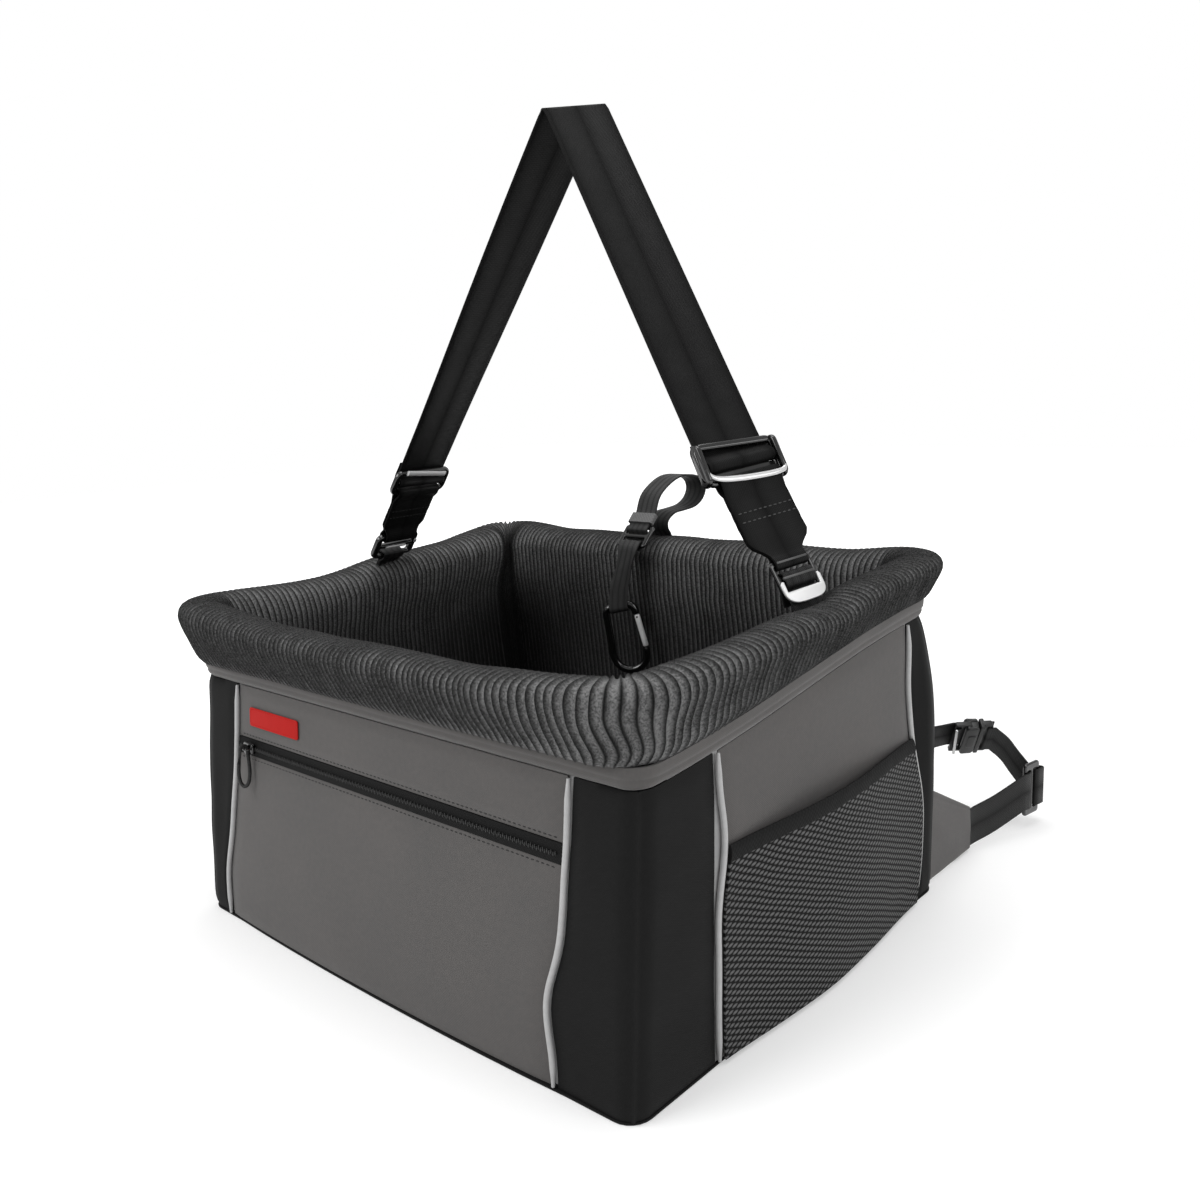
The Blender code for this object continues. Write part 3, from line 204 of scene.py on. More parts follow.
def betweenPipings(side, across, height, room=pipingRoom):
    return between(pipingPlace(side, -1, height) + room, pipingPlace(side, 1, height) - room, across)


def stations(straightSteps, cornerSteps):
    signs = ((1, -1), (1, 1), (-1, 1), (-1, -1))
    result = []
    for index, start in enumerate(signs):
        first = -math.pi / 2 + index * math.pi / 2
        for step in range(cornerSteps + 1):
            result.append((start, start, first + math.pi / 2 * step / cornerSteps, 0))
        following = signs[(index + 1) % 4]
        for step in range(1, straightSteps):
            result.append((start, following, first + math.pi / 2, step / straightSteps))
    return result


def outlinePoint(station, halfX, halfY, radius, outward):
    start, end, angle, share = station
    reach = Vector((math.cos(angle), math.sin(angle))) * (radius + outward)
    first = Vector((start[0] * (halfX - radius), start[1] * (halfY - radius)))
    second = Vector((end[0] * (halfX - radius), end[1] * (halfY - radius)))
    return first.lerp(second, share) + reach


# Mesh helpers

def linkPiece(data, name, look, body="seat", nodes=(), slot=None, sharp=40):
    if look is not None:
        data.materials.append(look)
    data.shade_smooth()
    data.set_sharp_from_angle(angle=math.radians(sharp))
    piece = addObject(name, data)
    if nodes:
        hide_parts(*nodes)
    if body:
        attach(piece, body)
    return piece


def meshData(mesh, name):
    data = bpy.data.meshes.new(name)
    mesh.to_mesh(data)
    mesh.free()
    return data


def finishMesh(mesh, name, look, **rest):
    bmesh.ops.recalc_face_normals(mesh, faces=mesh.faces[:])
    if mesh.calc_volume(signed=True) < 0:
        bmesh.ops.reverse_faces(mesh, faces=mesh.faces[:])
    return linkPiece(meshData(mesh, name), name, look, **rest)


def measuredGrid(columns, rows, size):
    mesh = bmesh.new()
    layer = mesh.loops.layers.uv.new("UVMap")
    bmesh.ops.create_grid(mesh, x_segments=columns, y_segments=rows, size=1)
    for face in mesh.faces:
        for loop in face.loops:
            loop[layer].uv = ((loop.vert.co.x + 1) / 2 * size[0], (loop.vert.co.y + 1) / 2 * size[1])
    return mesh


# A closed slab of cloth: place(across, along, skin) with skin 0 on the outside and 1 on the inside
def slab(name, place, columns, rows, look, size, **rest):
    mesh = measuredGrid(columns, rows, size)
    made = bmesh.ops.extrude_face_region(mesh, geom=mesh.faces[:])
    inner = {item for item in made["geom"] if isinstance(item, bmesh.types.BMVert)}
    for vert in mesh.verts:
        vert.co = place((vert.co.x + 1) / 2, (vert.co.y + 1) / 2, 1 if vert in inner else 0)
    return finishMesh(mesh, name, look, **rest)


# A shape that closes round its section: place(around, along); it also closes on itself if looped, or gets end caps.
# mark(across, along) gives the cloth's own measure where an even one won't do
def hose(name, place, around, along, look, size, looped=False, mark=None, **rest):
    mesh = measuredGrid(around, along, size)
    if mark:
        layer = mesh.loops.layers.uv["UVMap"]
        for face in mesh.faces:
            for loop in face.loops:
                loop[layer].uv = mark(*loop[layer].uv)
    for vert in mesh.verts:
        column = round((vert.co.x + 1) / 2 * around) % around
        row = round((vert.co.y + 1) / 2 * along)
        vert.co = place(column, row % along if looped else row)
    bmesh.ops.remove_doubles(mesh, verts=mesh.verts[:], dist=0.001 * mm)
    edges = [edge for edge in mesh.edges if edge.is_boundary]
    if edges:
        bmesh.ops.holes_fill(mesh, edges=edges, sides=0)
    return finishMesh(mesh, name, look, **rest)


def smoothPath(points, steps):
    points = [Vector(point) for point in points]
    padded = [2 * points[0] - points[1], *points, 2 * points[-1] - points[-2]]
    result = []
    for index in range(1, len(padded) - 2):
        before, start, end, after = padded[index - 1:index + 3]
        for step in range(steps):
            share = step / steps
            pull = (end - before) * share
            bend = (2 * before - 5 * start + 4 * end - after) * share ** 2
            turn = (3 * start - before - 3 * end + after) * share ** 3
            result.append(start + (pull + bend + turn) / 2)
    result.append(points[-1])
    return result


def directions(points, looped=False):
    count = len(points)
    result = []
    for index in range(count):
        before = points[index - 1] if looped or index else points[0]
        after = points[(index + 1) % count] if looped or index < count - 1 else points[-1]
        result.append((after - before).normalized())
    return result


def runLengths(points):
    result = [0.0]
    for start, end in zip(points, points[1:]):
        result.append(result[-1] + (end - start).length)
    return result


# Webbing's section: across as a share of its half width, and skin as a share of its thickness
webSection = [(-0.985, 0.5), (-0.8, 0.5), (-0.4, 0.5), (0, 0.5), (0.4, 0.5), (0.8, 0.5), (0.985, 0.5),
              (1, 0.22), (1, -0.22), (0.985, -0.5), (0.8, -0.5), (0.4, -0.5), (0, -0.5), (-0.4, -0.5), (-0.8, -0.5),
              (-0.985, -0.5), (-1, -0.22), (-1, 0.22)]


def webbing(name, points, edges, thickness, look, looped=False, **rest):
    forward = directions(points, looped)
    lengths = runLengths([*points, points[0]])
    count = len(webSection)
    rows = len(points) if looped else len(points) - 1

    def place(column, row):
        across, skin = webSection[column]
        normal = edges[row].cross(forward[row]).normalized()
        return points[row] + edges[row] * across + normal * (thickness * skin)

    def mark(across, along):
        row = round(along * rows)
        return webSection[round(across * count) % count][0] * edges[row % len(edges)].length, lengths[row]

    return hose(name, place, count, rows, look, (1, 1), looped=looped, mark=mark, sharp=60, **rest)


def tube(name, points, radius, look, looped=False, segments=12, flat=1.0, up=None, **rest):
    forward = directions(points, looped)
    radii = radius if isinstance(radius, list) else [radius] * len(points)
    normal = forward[0].orthogonal().normalized() if up is None else Vector(up)
    frames = []
    for way in forward:
        normal = (normal - way * normal.dot(way)).normalized()
        frames.append((normal.copy(), way.cross(normal)))
    lengths = runLengths(points)
    rows = len(points) if looped else len(points) - 1

    def place(column, row):
        angle = 2 * math.pi * column / segments
        first, second = frames[row]
        return points[row] + (first * math.cos(angle) + second * (math.sin(angle) * flat)) * radii[row]

    return hose(name, place, segments, rows, look, (2 * math.pi * radii[0], lengths[-1]), looped=looped, **rest)


def frameOf(origin, across, up):
    columns = Matrix((across, up, Vector(across).cross(up))).transposed().to_4x4()
    return Matrix.Translation(origin) @ columns


def placed(place, spots):
    return [place @ Vector(spot) for spot in spots]


def roundedOutline(lowX, lowY, highX, highY, radius, steps=6):
    corners = ((highX - radius, lowY + radius, -90), (highX - radius, highY - radius, 0),
               (lowX + radius, highY - radius, 90), (lowX + radius, lowY + radius, 180))
    points = []
    for middleX, middleY, first in corners:
        for step in range(steps + 1):
            angle = math.radians(first + 90 * step / steps)
            points.append((middleX + radius * math.cos(angle), middleY + radius * math.sin(angle)))
    return points


# A flat plate cut by windows, its edges rounded, put in place by a matrix
def plate(name, outlines, thickness, rounding, matrix, look, shape=None, **rest):
    data = bpy.data.curves.new(name, "CURVE")
    data.dimensions = "2D"
    data.fill_mode = "BOTH"
    data.extrude = thickness / 2 - rounding
    data.bevel_depth = rounding
    data.bevel_resolution = 3
    data.offset = -rounding
    for outline in outlines:
        spline = data.splines.new("POLY")
        spline.points.add(len(outline) - 1)
        for spot, point in zip(spline.points, outline):
            spot.co = (*point, 0, 1)
        spline.use_cyclic_u = True
    guide = addObject(name, data)
    evaluated = guide.evaluated_get(bpy.context.evaluated_depsgraph_get())
    made = bpy.data.meshes.new_from_object(evaluated)
    bpy.data.objects.remove(guide)
    mesh = bmesh.new()
    mesh.from_mesh(made)
    bpy.data.meshes.remove(made)
    bmesh.ops.remove_doubles(mesh, verts=mesh.verts[:], dist=0.005 * mm)
    if shape:
        for vert in mesh.verts:
            vert.co = shape(vert.co)
    bmesh.ops.transform(mesh, matrix=matrix, verts=mesh.verts[:])
    return finishMesh(mesh, name, look, sharp=50, **rest)


def oblongPlate(name, corners, corner, thickness, rounding, matrix, look, **rest):
    return plate(name, [roundedOutline(*corners, corner)], thickness, rounding, matrix, look, **rest)


# Short sewing stitches along a path, each a slim closed bead
def stitches(name, points, outward, look, length=2.6 * mm, gap=1.2 * mm, radius=0.32 * mm, **rest):
    lengths = runLengths(points)
    mesh = bmesh.new()
    place = gap
    while place + length < lengths[-1]:
        index = max(i for i, run in enumerate(lengths[:-1]) if run <= place + length / 2)
        share = (place + length / 2 - lengths[index]) / (lengths[index + 1] - lengths[index])
        middle = points[index].lerp(points[index + 1], share)
        way = (points[index + 1] - points[index]).normalized()
        out = (outward - way * outward.dot(way)).normalized()
        turn = Matrix((way.cross(out), out, way)).transposed().to_4x4()
        matrix = Matrix.Translation(middle) @ turn @ Matrix.Diagonal((radius * 1.3, radius * 0.8, length / 2, 1))
        bmesh.ops.create_uvsphere(mesh, u_segments=6, v_segments=4, radius=1, matrix=matrix)
        place += length + gap
    return finishMesh(mesh, name, look, sharp=80, **rest)


# Material helpers

def plug(item, socket):
    item = item.socket if isinstance(item, Value) else item
    if isinstance(item, bpy.types.NodeSocket):
        socket.id_data.links.new(item, socket)
    else:
        socket.default_value = item


def addNode(tree, kind, inputs=(), **settings):
    made = tree.nodes.new(kind)
    for key, value in settings.items():
        setattr(made, key, value)
    for key, value in dict(inputs).items():
        plug(value, made.inputs[key])
    return made


def reckon(operation, *items):
    tree = next(item.socket.id_data for item in items if isinstance(item, Value))
    return Value(addNode(tree, "ShaderNodeMath", enumerate(items), operation=operation).outputs[0])


# A number inside a node tree, which the usual signs combine into math nodes
class Value:
    def __init__(self, socket):
        self.socket = socket

    def __add__(self, other):
        return reckon("ADD", self, other)

    def __sub__(self, other):
        return reckon("SUBTRACT", self, other)

    def __rsub__(self, other):
        return reckon("SUBTRACT", other, self)

    def __mul__(self, other):
        return reckon("MULTIPLY", self, other)

    def __truediv__(self, other):
        return reckon("DIVIDE", self, other)

    def __rtruediv__(self, other):
        return reckon("DIVIDE", other, self)

    def __pow__(self, other):
        return reckon("POWER", self, other)

    def __abs__(self):
        return reckon("ABSOLUTE", self)

    def clamped(self):
        self.socket.node.use_clamp = True
        return self


def partsOf(tree, vector):
    return [Value(socket) for socket in addNode(tree, "ShaderNodeSeparateXYZ", {0: vector}).outputs][:2]


def noiseOf(tree, vector, scale, detail, **more):
    inputs = {"Vector": vector, "Scale": scale, "Detail": detail, **more}
    return Value(addNode(tree, "ShaderNodeTexNoise", inputs).outputs["Fac"])


def attributeOf(tree, name):
    return Value(addNode(tree, "ShaderNodeAttribute", attribute_name=name).outputs["Fac"])


def mixColour(tree, share, first, second):
    return addNode(tree, "ShaderNodeMix", {0: share, 6: first, 7: second}, data_type="RGBA").outputs[2]


def linear(red, green, blue):
    values = []
    for part in (red, green, blue):
        part = part / 255
        values.append(part / 12.92 if part <= 0.04045 else ((part + 0.055) / 1.055) ** 2.4)
    return (*values, 1.0)


def grey(value):
    return linear(value, value, value)


def newGroup(name, inputs, outputs):
    group = bpy.data.node_groups.new(name, "ShaderNodeTree")
    for label, value in inputs.items():
        kind = "NodeSocketVector" if label == "Vector" else "NodeSocketFloat"
        socket = group.interface.new_socket(label, in_out="INPUT", socket_type=kind)
        if value is not None:
            socket.default_value = value
    for label in outputs:
        group.interface.new_socket(label, in_out="OUTPUT", socket_type="NodeSocketFloat")
    entry = group.nodes.new("NodeGroupInput").outputs
    return group, {label: Value(entry[label]) for label in inputs}, group.nodes.new("NodeGroupOutput").inputs


# Plain weave: threads over and under each other at a pitch, with slubs that change the tone
def makeWeave():
    group, given, result = newGroup("clothWeave", {"Vector": None, "Pitch": 0.6 * mm, "Unevenness": 0.4},
                                    ["Height", "Tone"])
    across, along = partsOf(group, given["Vector"])
    turns = math.pi / given["Pitch"]
    plug(reckon("SINE", across * turns) * reckon("SINE", along * turns) * 0.5 + 0.5, result["Height"])
    slubs = noiseOf(group, given["Vector"], 260.0, 3.0)
    clouds = noiseOf(group, given["Vector"], 14.0, 2.0)
    plug((((slubs - 0.5) + (clouds - 0.5)) * given["Unevenness"] + 0.5).clamped(), result["Tone"])
    return group


# Webbing: lengthwise ribs crossed by a slanting twill, and broad bands that catch the light
def makeWebWeave():
    group, given, result = newGroup("webWeave", {"Vector": None, "Rib": 1.3 * mm, "Band": 10 * mm},
                                    ["Height", "Band"])
    across, along = partsOf(group, given["Vector"])
    turns = 2 * math.pi / given["Rib"]
    slant = reckon("PINGPONG", across, given["Band"]) + along * 0.8
    plug(reckon("SINE", across * turns) * 0.25 + reckon("SINE", slant * turns) * 0.3 + 0.5, result["Height"])
    plug(abs(reckon("SINE", across * (math.pi / given["Band"]))) ** 0.6, result["Band"])
    return group


# Fine unevenness of moulded plastic, paint and metal, with rubbed places
def makeGrain():
    group, given, result = newGroup("fineGrain", {"Vector": None, "Scale": 900.0}, ["Height", "Rubbed"])
    plug(noiseOf(group, given["Vector"], given["Scale"], 4.0), result["Height"])
    broad = noiseOf(group, given["Vector"], 70.0, 5.0, Roughness=0.65)
    plug(((broad - 0.5) * 2.2).clamped(), result["Rubbed"])
    return group


clothWeave = makeWeave()
webWeave = makeWebWeave()
fineGrain = makeGrain()


def newLook(name, roughness, metallic=0.0, specular=0.5, sheen=0.0, sheenRough=0.4, coat=0.0):
    look = bpy.data.materials.new(name)
    look.use_nodes = True
    shader = look.node_tree.nodes["Principled BSDF"]
    values = {"Roughness": roughness, "Metallic": metallic, "Specular IOR Level": specular, "Sheen Weight": sheen,
              "Sheen Roughness": sheenRough, "Coat Weight": coat}
    for label, value in values.items():
        shader.inputs[label].default_value = value
    return look, look.node_tree, shader


def connect(tree, shader, colour, height, depth, strength=0.6, roughness=None):
    plug(colour, shader.inputs["Base Color"])
    if roughness is not None:
        plug(roughness, shader.inputs["Roughness"])
    bump = addNode(tree, "ShaderNodeBump", {"Height": height, "Distance": depth, "Strength": strength})
    plug(bump.outputs["Normal"], shader.inputs["Normal"])


def useGroup(tree, group, vector, **values):
    made = tree.nodes.new("ShaderNodeGroup")
    made.node_tree = group
    for label, value in {"Vector": vector, **values}.items():
        plug(value, made.inputs[label])
    return {socket.name: Value(socket) for socket in made.outputs}


def uvOf(tree):
    return addNode(tree, "ShaderNodeUVMap", uv_map="UVMap").outputs["UV"]


def objectOf(tree):
    return tree.nodes.new("ShaderNodeTexCoord").outputs["Object"]


# threads: how much the tone follows the weave's threads
def wovenLook(name, dark, light, pitch, roughness, sheen=0.0, depth=0.12 * mm, unevenness=0.5, specular=0.15,
              threads=0.35):
    look, tree, shader = newLook(name, roughness, sheen=sheen, specular=specular)
    weave = useGroup(tree, clothWeave, uvOf(tree), Pitch=pitch, Unevenness=unevenness)
    tone = (weave["Tone"] + (weave["Height"] - 0.5) * threads).clamped()
    connect(tree, shader, mixColour(tree, tone, dark, light), weave["Height"], depth)
    return look


def webbingLook(name, dark, light, ribCrestLight, band, roughness, specular=0.25):
    look, tree, shader = newLook(name, roughness, specular=specular)
    web = useGroup(tree, webWeave, uvOf(tree), Rib=ribCrestLight, Band=band)
    # The broad bands lighten the colour as a painted sheen, and also lower the roughness
    tone = (web["Band"] * noiseOf(tree, uvOf(tree), 60.0, 3.0)).clamped()
    connect(tree, shader, mixColour(tree, tone, dark, light), web["Height"], 0.25 * mm, strength=0.7,
            roughness=(roughness + 0.15) - web["Band"] * 0.25)
    return look


def hardLook(name, dark, light, roughness, metallic=0.0, coat=0.0, grain=900.0, depth=0.02 * mm, rubbed=0.25):
    look, tree, shader = newLook(name, roughness, metallic=metallic, coat=coat)
    made = useGroup(tree, fineGrain, objectOf(tree), Scale=grain)
    connect(tree, shader, mixColour(tree, made["Rubbed"] * rubbed, dark, light), made["Height"], depth,
            roughness=(made["Rubbed"] * 0.18 + roughness).clamped())
    return look


greyCloth = wovenLook("greyCloth", grey(71), linear(93, 89, 87), 0.7 * mm, 0.78, sheen=0.25, specular=0.35)
blackCloth = wovenLook("blackCloth", grey(9), grey(22), 0.7 * mm, 0.72, sheen=0.02)
liningCloth = wovenLook("liningCloth", grey(16), grey(26), 0.8 * mm, 0.8)
zipTape = wovenLook("zipTape", grey(9), grey(22), 1.1 * mm, 0.75, depth=0.25 * mm)
elasticLook = wovenLook("boundEdge", grey(17), grey(30), 1.6 * mm, 0.78, depth=0.3 * mm)
strapLook = webbingLook("headStrapWebbing", grey(4), grey(24), 1.2 * mm, 22.5 * mm, roughness=0.58, specular=0.12)
plainWeb = webbingLook("narrowWebbing", grey(9), grey(28), 1.3 * mm, 6.5 * mm, roughness=0.55)
tetherLook = webbingLook("tetherWebbing", grey(30), grey(66), 1.4 * mm, 5 * mm, roughness=0.6)
glossBlack = hardLook("glossBlackPaint", grey(10), grey(40), 0.16, coat=0.4, rubbed=0.1)
# Grey for the ladder lock's bars: its pale tone is a painted highlight
lockBarHighlight = hardLook("lockBarHighlight", grey(62), grey(110), 0.34)
moulded = hardLook("mouldedBlack", grey(18), grey(40), 0.36, grain=1400.0, depth=0.05 * mm)
brightMetal = hardLook("brightMetal", grey(205), grey(235), 0.3, metallic=0.7)
satinMetal = hardLook("satinMetal", grey(205), grey(235), 0.42, metallic=0.75)
# Nearly white and barely metallic: the pale colour is the silver parts' own tone plus a painted reflection
gateMetal = hardLook("gateMetal", grey(214), grey(240), 0.34, metallic=0.15)
foamLook = hardLook("foamBoard", grey(150), grey(190), 0.9, grain=400.0, depth=0.4 * mm)
greyThread = hardLook("greyThread", grey(58), grey(76), 0.7, grain=1500.0)
darkThread = hardLook("darkThread", grey(28), grey(48), 0.7, grain=1500.0)


def makePlushLook():
    look, tree, shader = newLook("ribbedPlush", 0.95, specular=0.1, sheen=0.12, sheenRough=0.5)
    ribCrestLight = attributeOf(tree, "ribCrestLight")
    paintedLight = attributeOf(tree, "paintedLight")
    place = objectOf(tree)
    fibres = noiseOf(tree, place, 1500.0, 3.0, Roughness=0.7)
    tufts = noiseOf(tree, place, 820.0, 2.0)
    shade = tufts * 0.75 + noiseOf(tree, place, 55.0, 2.0) * 0.25
    shade = addNode(tree, "ShaderNodeMapRange", {"Value": shade, 1: 0.38, 2: 0.62}).outputs[0]
    pile = mixColour(tree, shade, grey(60), grey(124))
    tipped = mixColour(tree, fibres ** 3.0, pile, grey(156))
    # Painted shade: the grooves between the ribs turn near black, the crests keep the pile's colour
    ribbed = mixColour(tree, ribCrestLight ** 1.5, grey(6), tipped)
    # Painted shade of the deep lining and its back-left corner, darkening towards grey(10)
    colour = mixColour(tree, paintedLight * paintedLight, grey(10), ribbed)
    connect(tree, shader, colour, fibres + tufts, 0.9 * mm, strength=0.7)
    return look


# Net with leaning round cells in slanting rows, drawn a little out of line
def makeNetLook():
    look, tree, shader = newLook("pocketNet", 0.7, specular=0.15)
    across, along = partsOf(tree, uvOf(tree))
    across = noiseOf(tree, uvOf(tree), 28.0, 1.0) * (5 * mm) + across
    rows = (across * 0.44 + along) / (4.1 * mm)
    columns = (across - along * 0.44) / (4.6 * mm)
    rowIn = reckon("FRACT", rows) - 0.5
    cellIn = reckon("FRACT", columns + reckon("FLOOR", rows) * 0.5 - rowIn * 0.75) - 0.5
    inside = (1.0 - (abs(rowIn * 2.25) ** 2.0 + abs(cellIn * 2.5) ** 2.0)).clamped()
    connect(tree, shader, mixColour(tree, inside ** 0.7, grey(5), grey(104)), inside, 0.5 * mm, strength=0.8)
    return look


plushLook = makePlushLook()
netLook = makeNetLook()
pipingLook = wovenLook("lightPiping", grey(150), grey(196), 0.5 * mm, 0.38, depth=0.06 * mm, specular=0.6, threads=0)
patchLook = wovenLook("redPatch", linear(158, 10, 7), linear(190, 24, 16), 0.6 * mm, 0.68, unevenness=0.35,
                      specular=0.2, threads=0)
print("materials ready")

# The ribbed plush: the padded rim and the lining of the walls, sewn from one cloth
plush = {
    "ribs": 316,
    "columnsPerRib": 5,
    "cornerWidening": 0.6,
    "ribHeight": 2.3 * mm,
    "ribPower": 3.0,
    "sway": 1.3 * mm,
    "floorGap": 0.4 * mm,
    "wallFoot": 46 * mm,
    "wallRows": 24,
    "backRows": 3,
    "wideCorner": Vector((190, -150)) * mm,
    "wideReach": 70 * mm,
    "unevenness": 1.1 * mm,
}

# Section of the roll: outward as a share of its half width, up as a share of its height
rollShares = [(0.10, 0.00), (0.20, 0.10), (0.31, 0.28), (0.43, 0.48), (0.54, 0.67), (0.58, 0.82), (0.49, 0.94),
              (0.27, 0.99), (0.00, 1.00), (-0.30, 0.97), (-0.56, 0.87), (-0.74, 0.70), (-0.84, 0.46)]


# Unevenness of the roll's crest: heights, and the places across and back where each starts and fades
crest = {
    "side": 130 * mm,
    "sideReach": 60 * mm,
    "fuller": 4.5 * mm,
    "frontLoss": 0.8,
    "strapRight": 20 * mm,
    "strapLeft": 11 * mm,
    "strapWidth": 24 * mm,
    "slack": 2.5 * mm,
    "slackBack": 120 * mm,
    "backLeft": 4 * mm,
    "backLeftStart": 110 * mm,
    "backReach": 40 * mm,
}


# The crest stands up at the front corners and the back left one, fuller on the right, slack on the left, and pressed
# down under the strap
def crestLift(spot, width, depth):
    outwards = ease((abs(spot.x) - width) / box["cornerRiseWidth"] + 1)
    forwards = ease((-spot.y - depth) / box["cornerRiseDepth"] + 1)
    lift = box["cornerRise"] * outwards * forwards
    aside = ease((abs(spot.x) - crest["side"]) / crest["sideReach"])
    strapBack = crest["strapRight"] if spot.x > 0 else crest["strapLeft"]
    beside = 1 - math.exp(-((spot.y - strapBack) / crest["strapWidth"]) ** 2)
    if spot.x > 0:
        return lift + crest["fuller"] * aside * (1 - crest["frontLoss"] * forwards) * beside
    slack = crest["slack"] * aside * (1 - forwards) * ease((crest["slackBack"] - spot.y) / crest["backReach"])
    return lift - slack * beside + crest["backLeft"] * aside * ease(
        (spot.y - crest["backLeftStart"]) / crest["backReach"])


def rollPoint(station, outward, up):
    width = halfWidth(box["frontSeam"])
    rough = outlinePoint(station, width, halfDepth(box["frontSeam"]) + box["rollFrontShift"], box["rollCorner"], 0)
    depth = halfDepth(seamHeight(rough.y)) + box["rollFrontShift"]
    spot = outlinePoint(station, width, depth, box["rollCorner"], outward * box["rollHalf"])
    low = seamHeight(spot.y) + box["bandHeight"] + clearance
    high = rimHeight(spot.y) + crestLift(spot, width, depth)
    return Vector((spot.x, spot.y, between(low, high, up)))


def linerPoint(station, depth, height):
    radius = box["corner"]
    spot = outlinePoint(station, halfWidth(height) - depth, halfDepth(height) - depth, radius, 0)
    return Vector((spot.x, spot.y, height))


# Stations round the rim spaced evenly by length, a whole number of ribs
def evenStations(count):
    coarse = stations(40, 16)
    spots = [rollPoint(station, 0.5, 0.5) for station in coarse]
    spots.append(spots[0])
    lengths = [0.0]
    for start, end in zip(spots, spots[1:]):
        near = (start.xy - plush["wideCorner"]).length
        wide = 1 + plush["cornerWidening"] * math.exp(-(near / plush["wideReach"]) ** 2)
        lengths.append(lengths[-1] + (end - start).length / wide)
    result = []
    index = 0
    for step in range(count):
        wanted = lengths[-1] * step / count
        while lengths[index + 1] < wanted:
            index += 1
        share = (wanted - lengths[index]) / (lengths[index + 1] - lengths[index])
        start = coarse[index]
        end = coarse[(index + 1) % len(coarse)]
        if start[3] > 0 or end[3] > 0:
            reach = end[3] if end[3] > start[3] else 1
            following = start[1] if start[0] != start[1] else end[1]
            result.append((start[0], following, start[2], between(start[3], reach, share)))
        else:
            result.append((start[0], start[0], between(start[2], end[2], share), 0))
    return result


def unit(way, other):
    return way.normalized() if way.length > 1e-9 else Vector(other)


def makePlush():
    perRib = plush["columnsPerRib"]
    columns = plush["ribs"] * perRib
    places = evenStations(columns)
    roll = smoothPath([(*share, 0) for share in rollShares], 2)
    keys = [("roll", spot.x, spot.y) for spot in roll]
    wallRows = plush["wallRows"]
    keys += [("wall", step / wallRows, 0) for step in range(1, wallRows + 1)]
    keys += [("behind", step / plush["backRows"], 0) for step in range(plush["backRows"] + 1)]
    rows = len(keys)
    rollRows = len(roll)

    def base(column, row):
        station = places[column % columns]
        kind, first, second = keys[row % rows]
        if kind == "roll":
            return rollPoint(station, first, second)
        top = rollPoint(station, *rollShares[-1])
        low = box["floorTop"] + plush["floorGap"]
        if kind == "wall":
            height = between(top.z, low, first)
            fall = ease((top.z - height) / plush["wallFoot"])
            wall = linerPoint(station, box["linerInner"], height)
            return Vector((between(top.x, wall.x, fall), between(top.y, wall.y, fall), height))
        seam = seamHeight(top.y) + box["bandHeight"]
        return linerPoint(station, box["linerOuter"] + clearance, between(low, seam, first))

    grid = [[base(column, row) for row in range(rows)] for column in range(columns)]

    def strength(row):
        if row < rollRows:
            return between(0.35, 1, ease(row / 4))
        if row < rollRows + wallRows - 1:
            return 0.8
        return 0.0

    mesh = measuredGrid(columns, rows, (1.4, 0.4))
    # Share along each rib's profile, used only to paint shade into the grooves
    layer = mesh.verts.layers.float.new("ribCrestLight")
    # Painted shade of the lining: 1 on the rim, darker deeper in the box
    paintedLightLayer = mesh.verts.layers.float.new("paintedLight")
    moved = {}
    for vert in mesh.verts:
        column = round((vert.co.x + 1) / 2 * columns) % columns
        row = round((vert.co.y + 1) / 2 * rows) % rows
        spot = grid[column][row]
        along = grid[(column + 1) % columns][row] - grid[column - 1][row]
        down = grid[column][(row + 1) % rows] - grid[column][row - 1]
        along = unit(along, (1, 0, 0))
        down = unit(down, (0, 0, -1))
        normal = unit(down.cross(along), (0, 0, 1))
        share = column % perRib / perRib
        number = column // perRib
        ridge = 1 - abs(2 * share - 1) ** plush["ribPower"] if share else 0.0
        power = strength(row)
        lumps = noise.noise(spot * 95 + Vector((number * 3.7, 0, 0))) * 0.25
        sway = noise.noise(Vector((number * 0.35, row * 0.16, 2.0))) + 0.5 * noise.noise(spot * 60)
        lower = ease(1 - row / (rollRows * 0.45)) if row < rollRows else 0
        sway += lower * (2.2 * math.sin(row * 0.55 + 0.3) + 2.4 * noise.noise(Vector((number * 0.13, row * 0.2, 4.0))))
        held = 1 if row < rollRows else 0.45
        drop = rimHeight(spot.y) - spot.z
        if row >= rollRows:
            sway += 2.6 * ease((drop - 34 * mm) / (6 * mm)) * (0.6 + noise.noise(Vector((number * 0.2, 1.0, 7.0))))
        # Mask of the lining's back-left corner, where a painted shadow darkens it further
        corner = ease((-spot.x - 90 * mm) / (90 * mm)) * ease((spot.y - 20 * mm) / (110 * mm))
        vert[paintedLightLayer] = 1 if row < rollRows - 4 else between(1, 0.5 - 0.3 * corner, ease((drop - 8 * mm) / (85 * mm)))
        wide = noise.noise(spot * 22) * plush["unevenness"]
        lift = plush["ribHeight"] * (ridge * (1 + lumps) - 1.0) * power + wide * min(power, 1)
        vert[layer] = ridge if power > 0 else 0.3
        moved[vert] = spot + normal * lift + along * (sway * plush["sway"] * power * held)
    for vert, spot in moved.items():
        vert.co = spot
    bmesh.ops.remove_doubles(mesh, verts=mesh.verts[:], dist=0.001 * mm)
    made = finishMesh(mesh, "plushRimAndLining", plushLook, nodes=("collar", "liner"), slot="grey_plush", sharp=180)
    return made


plushPiece = makePlush()
print("plush", len(plushPiece.data.polygons))

# The floor pad: a crowned cushion with the same ribs
floorPad = {"room": 4 * mm, "edge": 15 * mm, "edgeShare": 0.06, "crown": 9 * mm, "drawIn": 5 * mm,
            "ribPitch": 7.1 * mm, "columnsPerRib": 6, "rows": 36, "ribHeight": 1.3 * mm, "unevenness": 1.2 * mm}


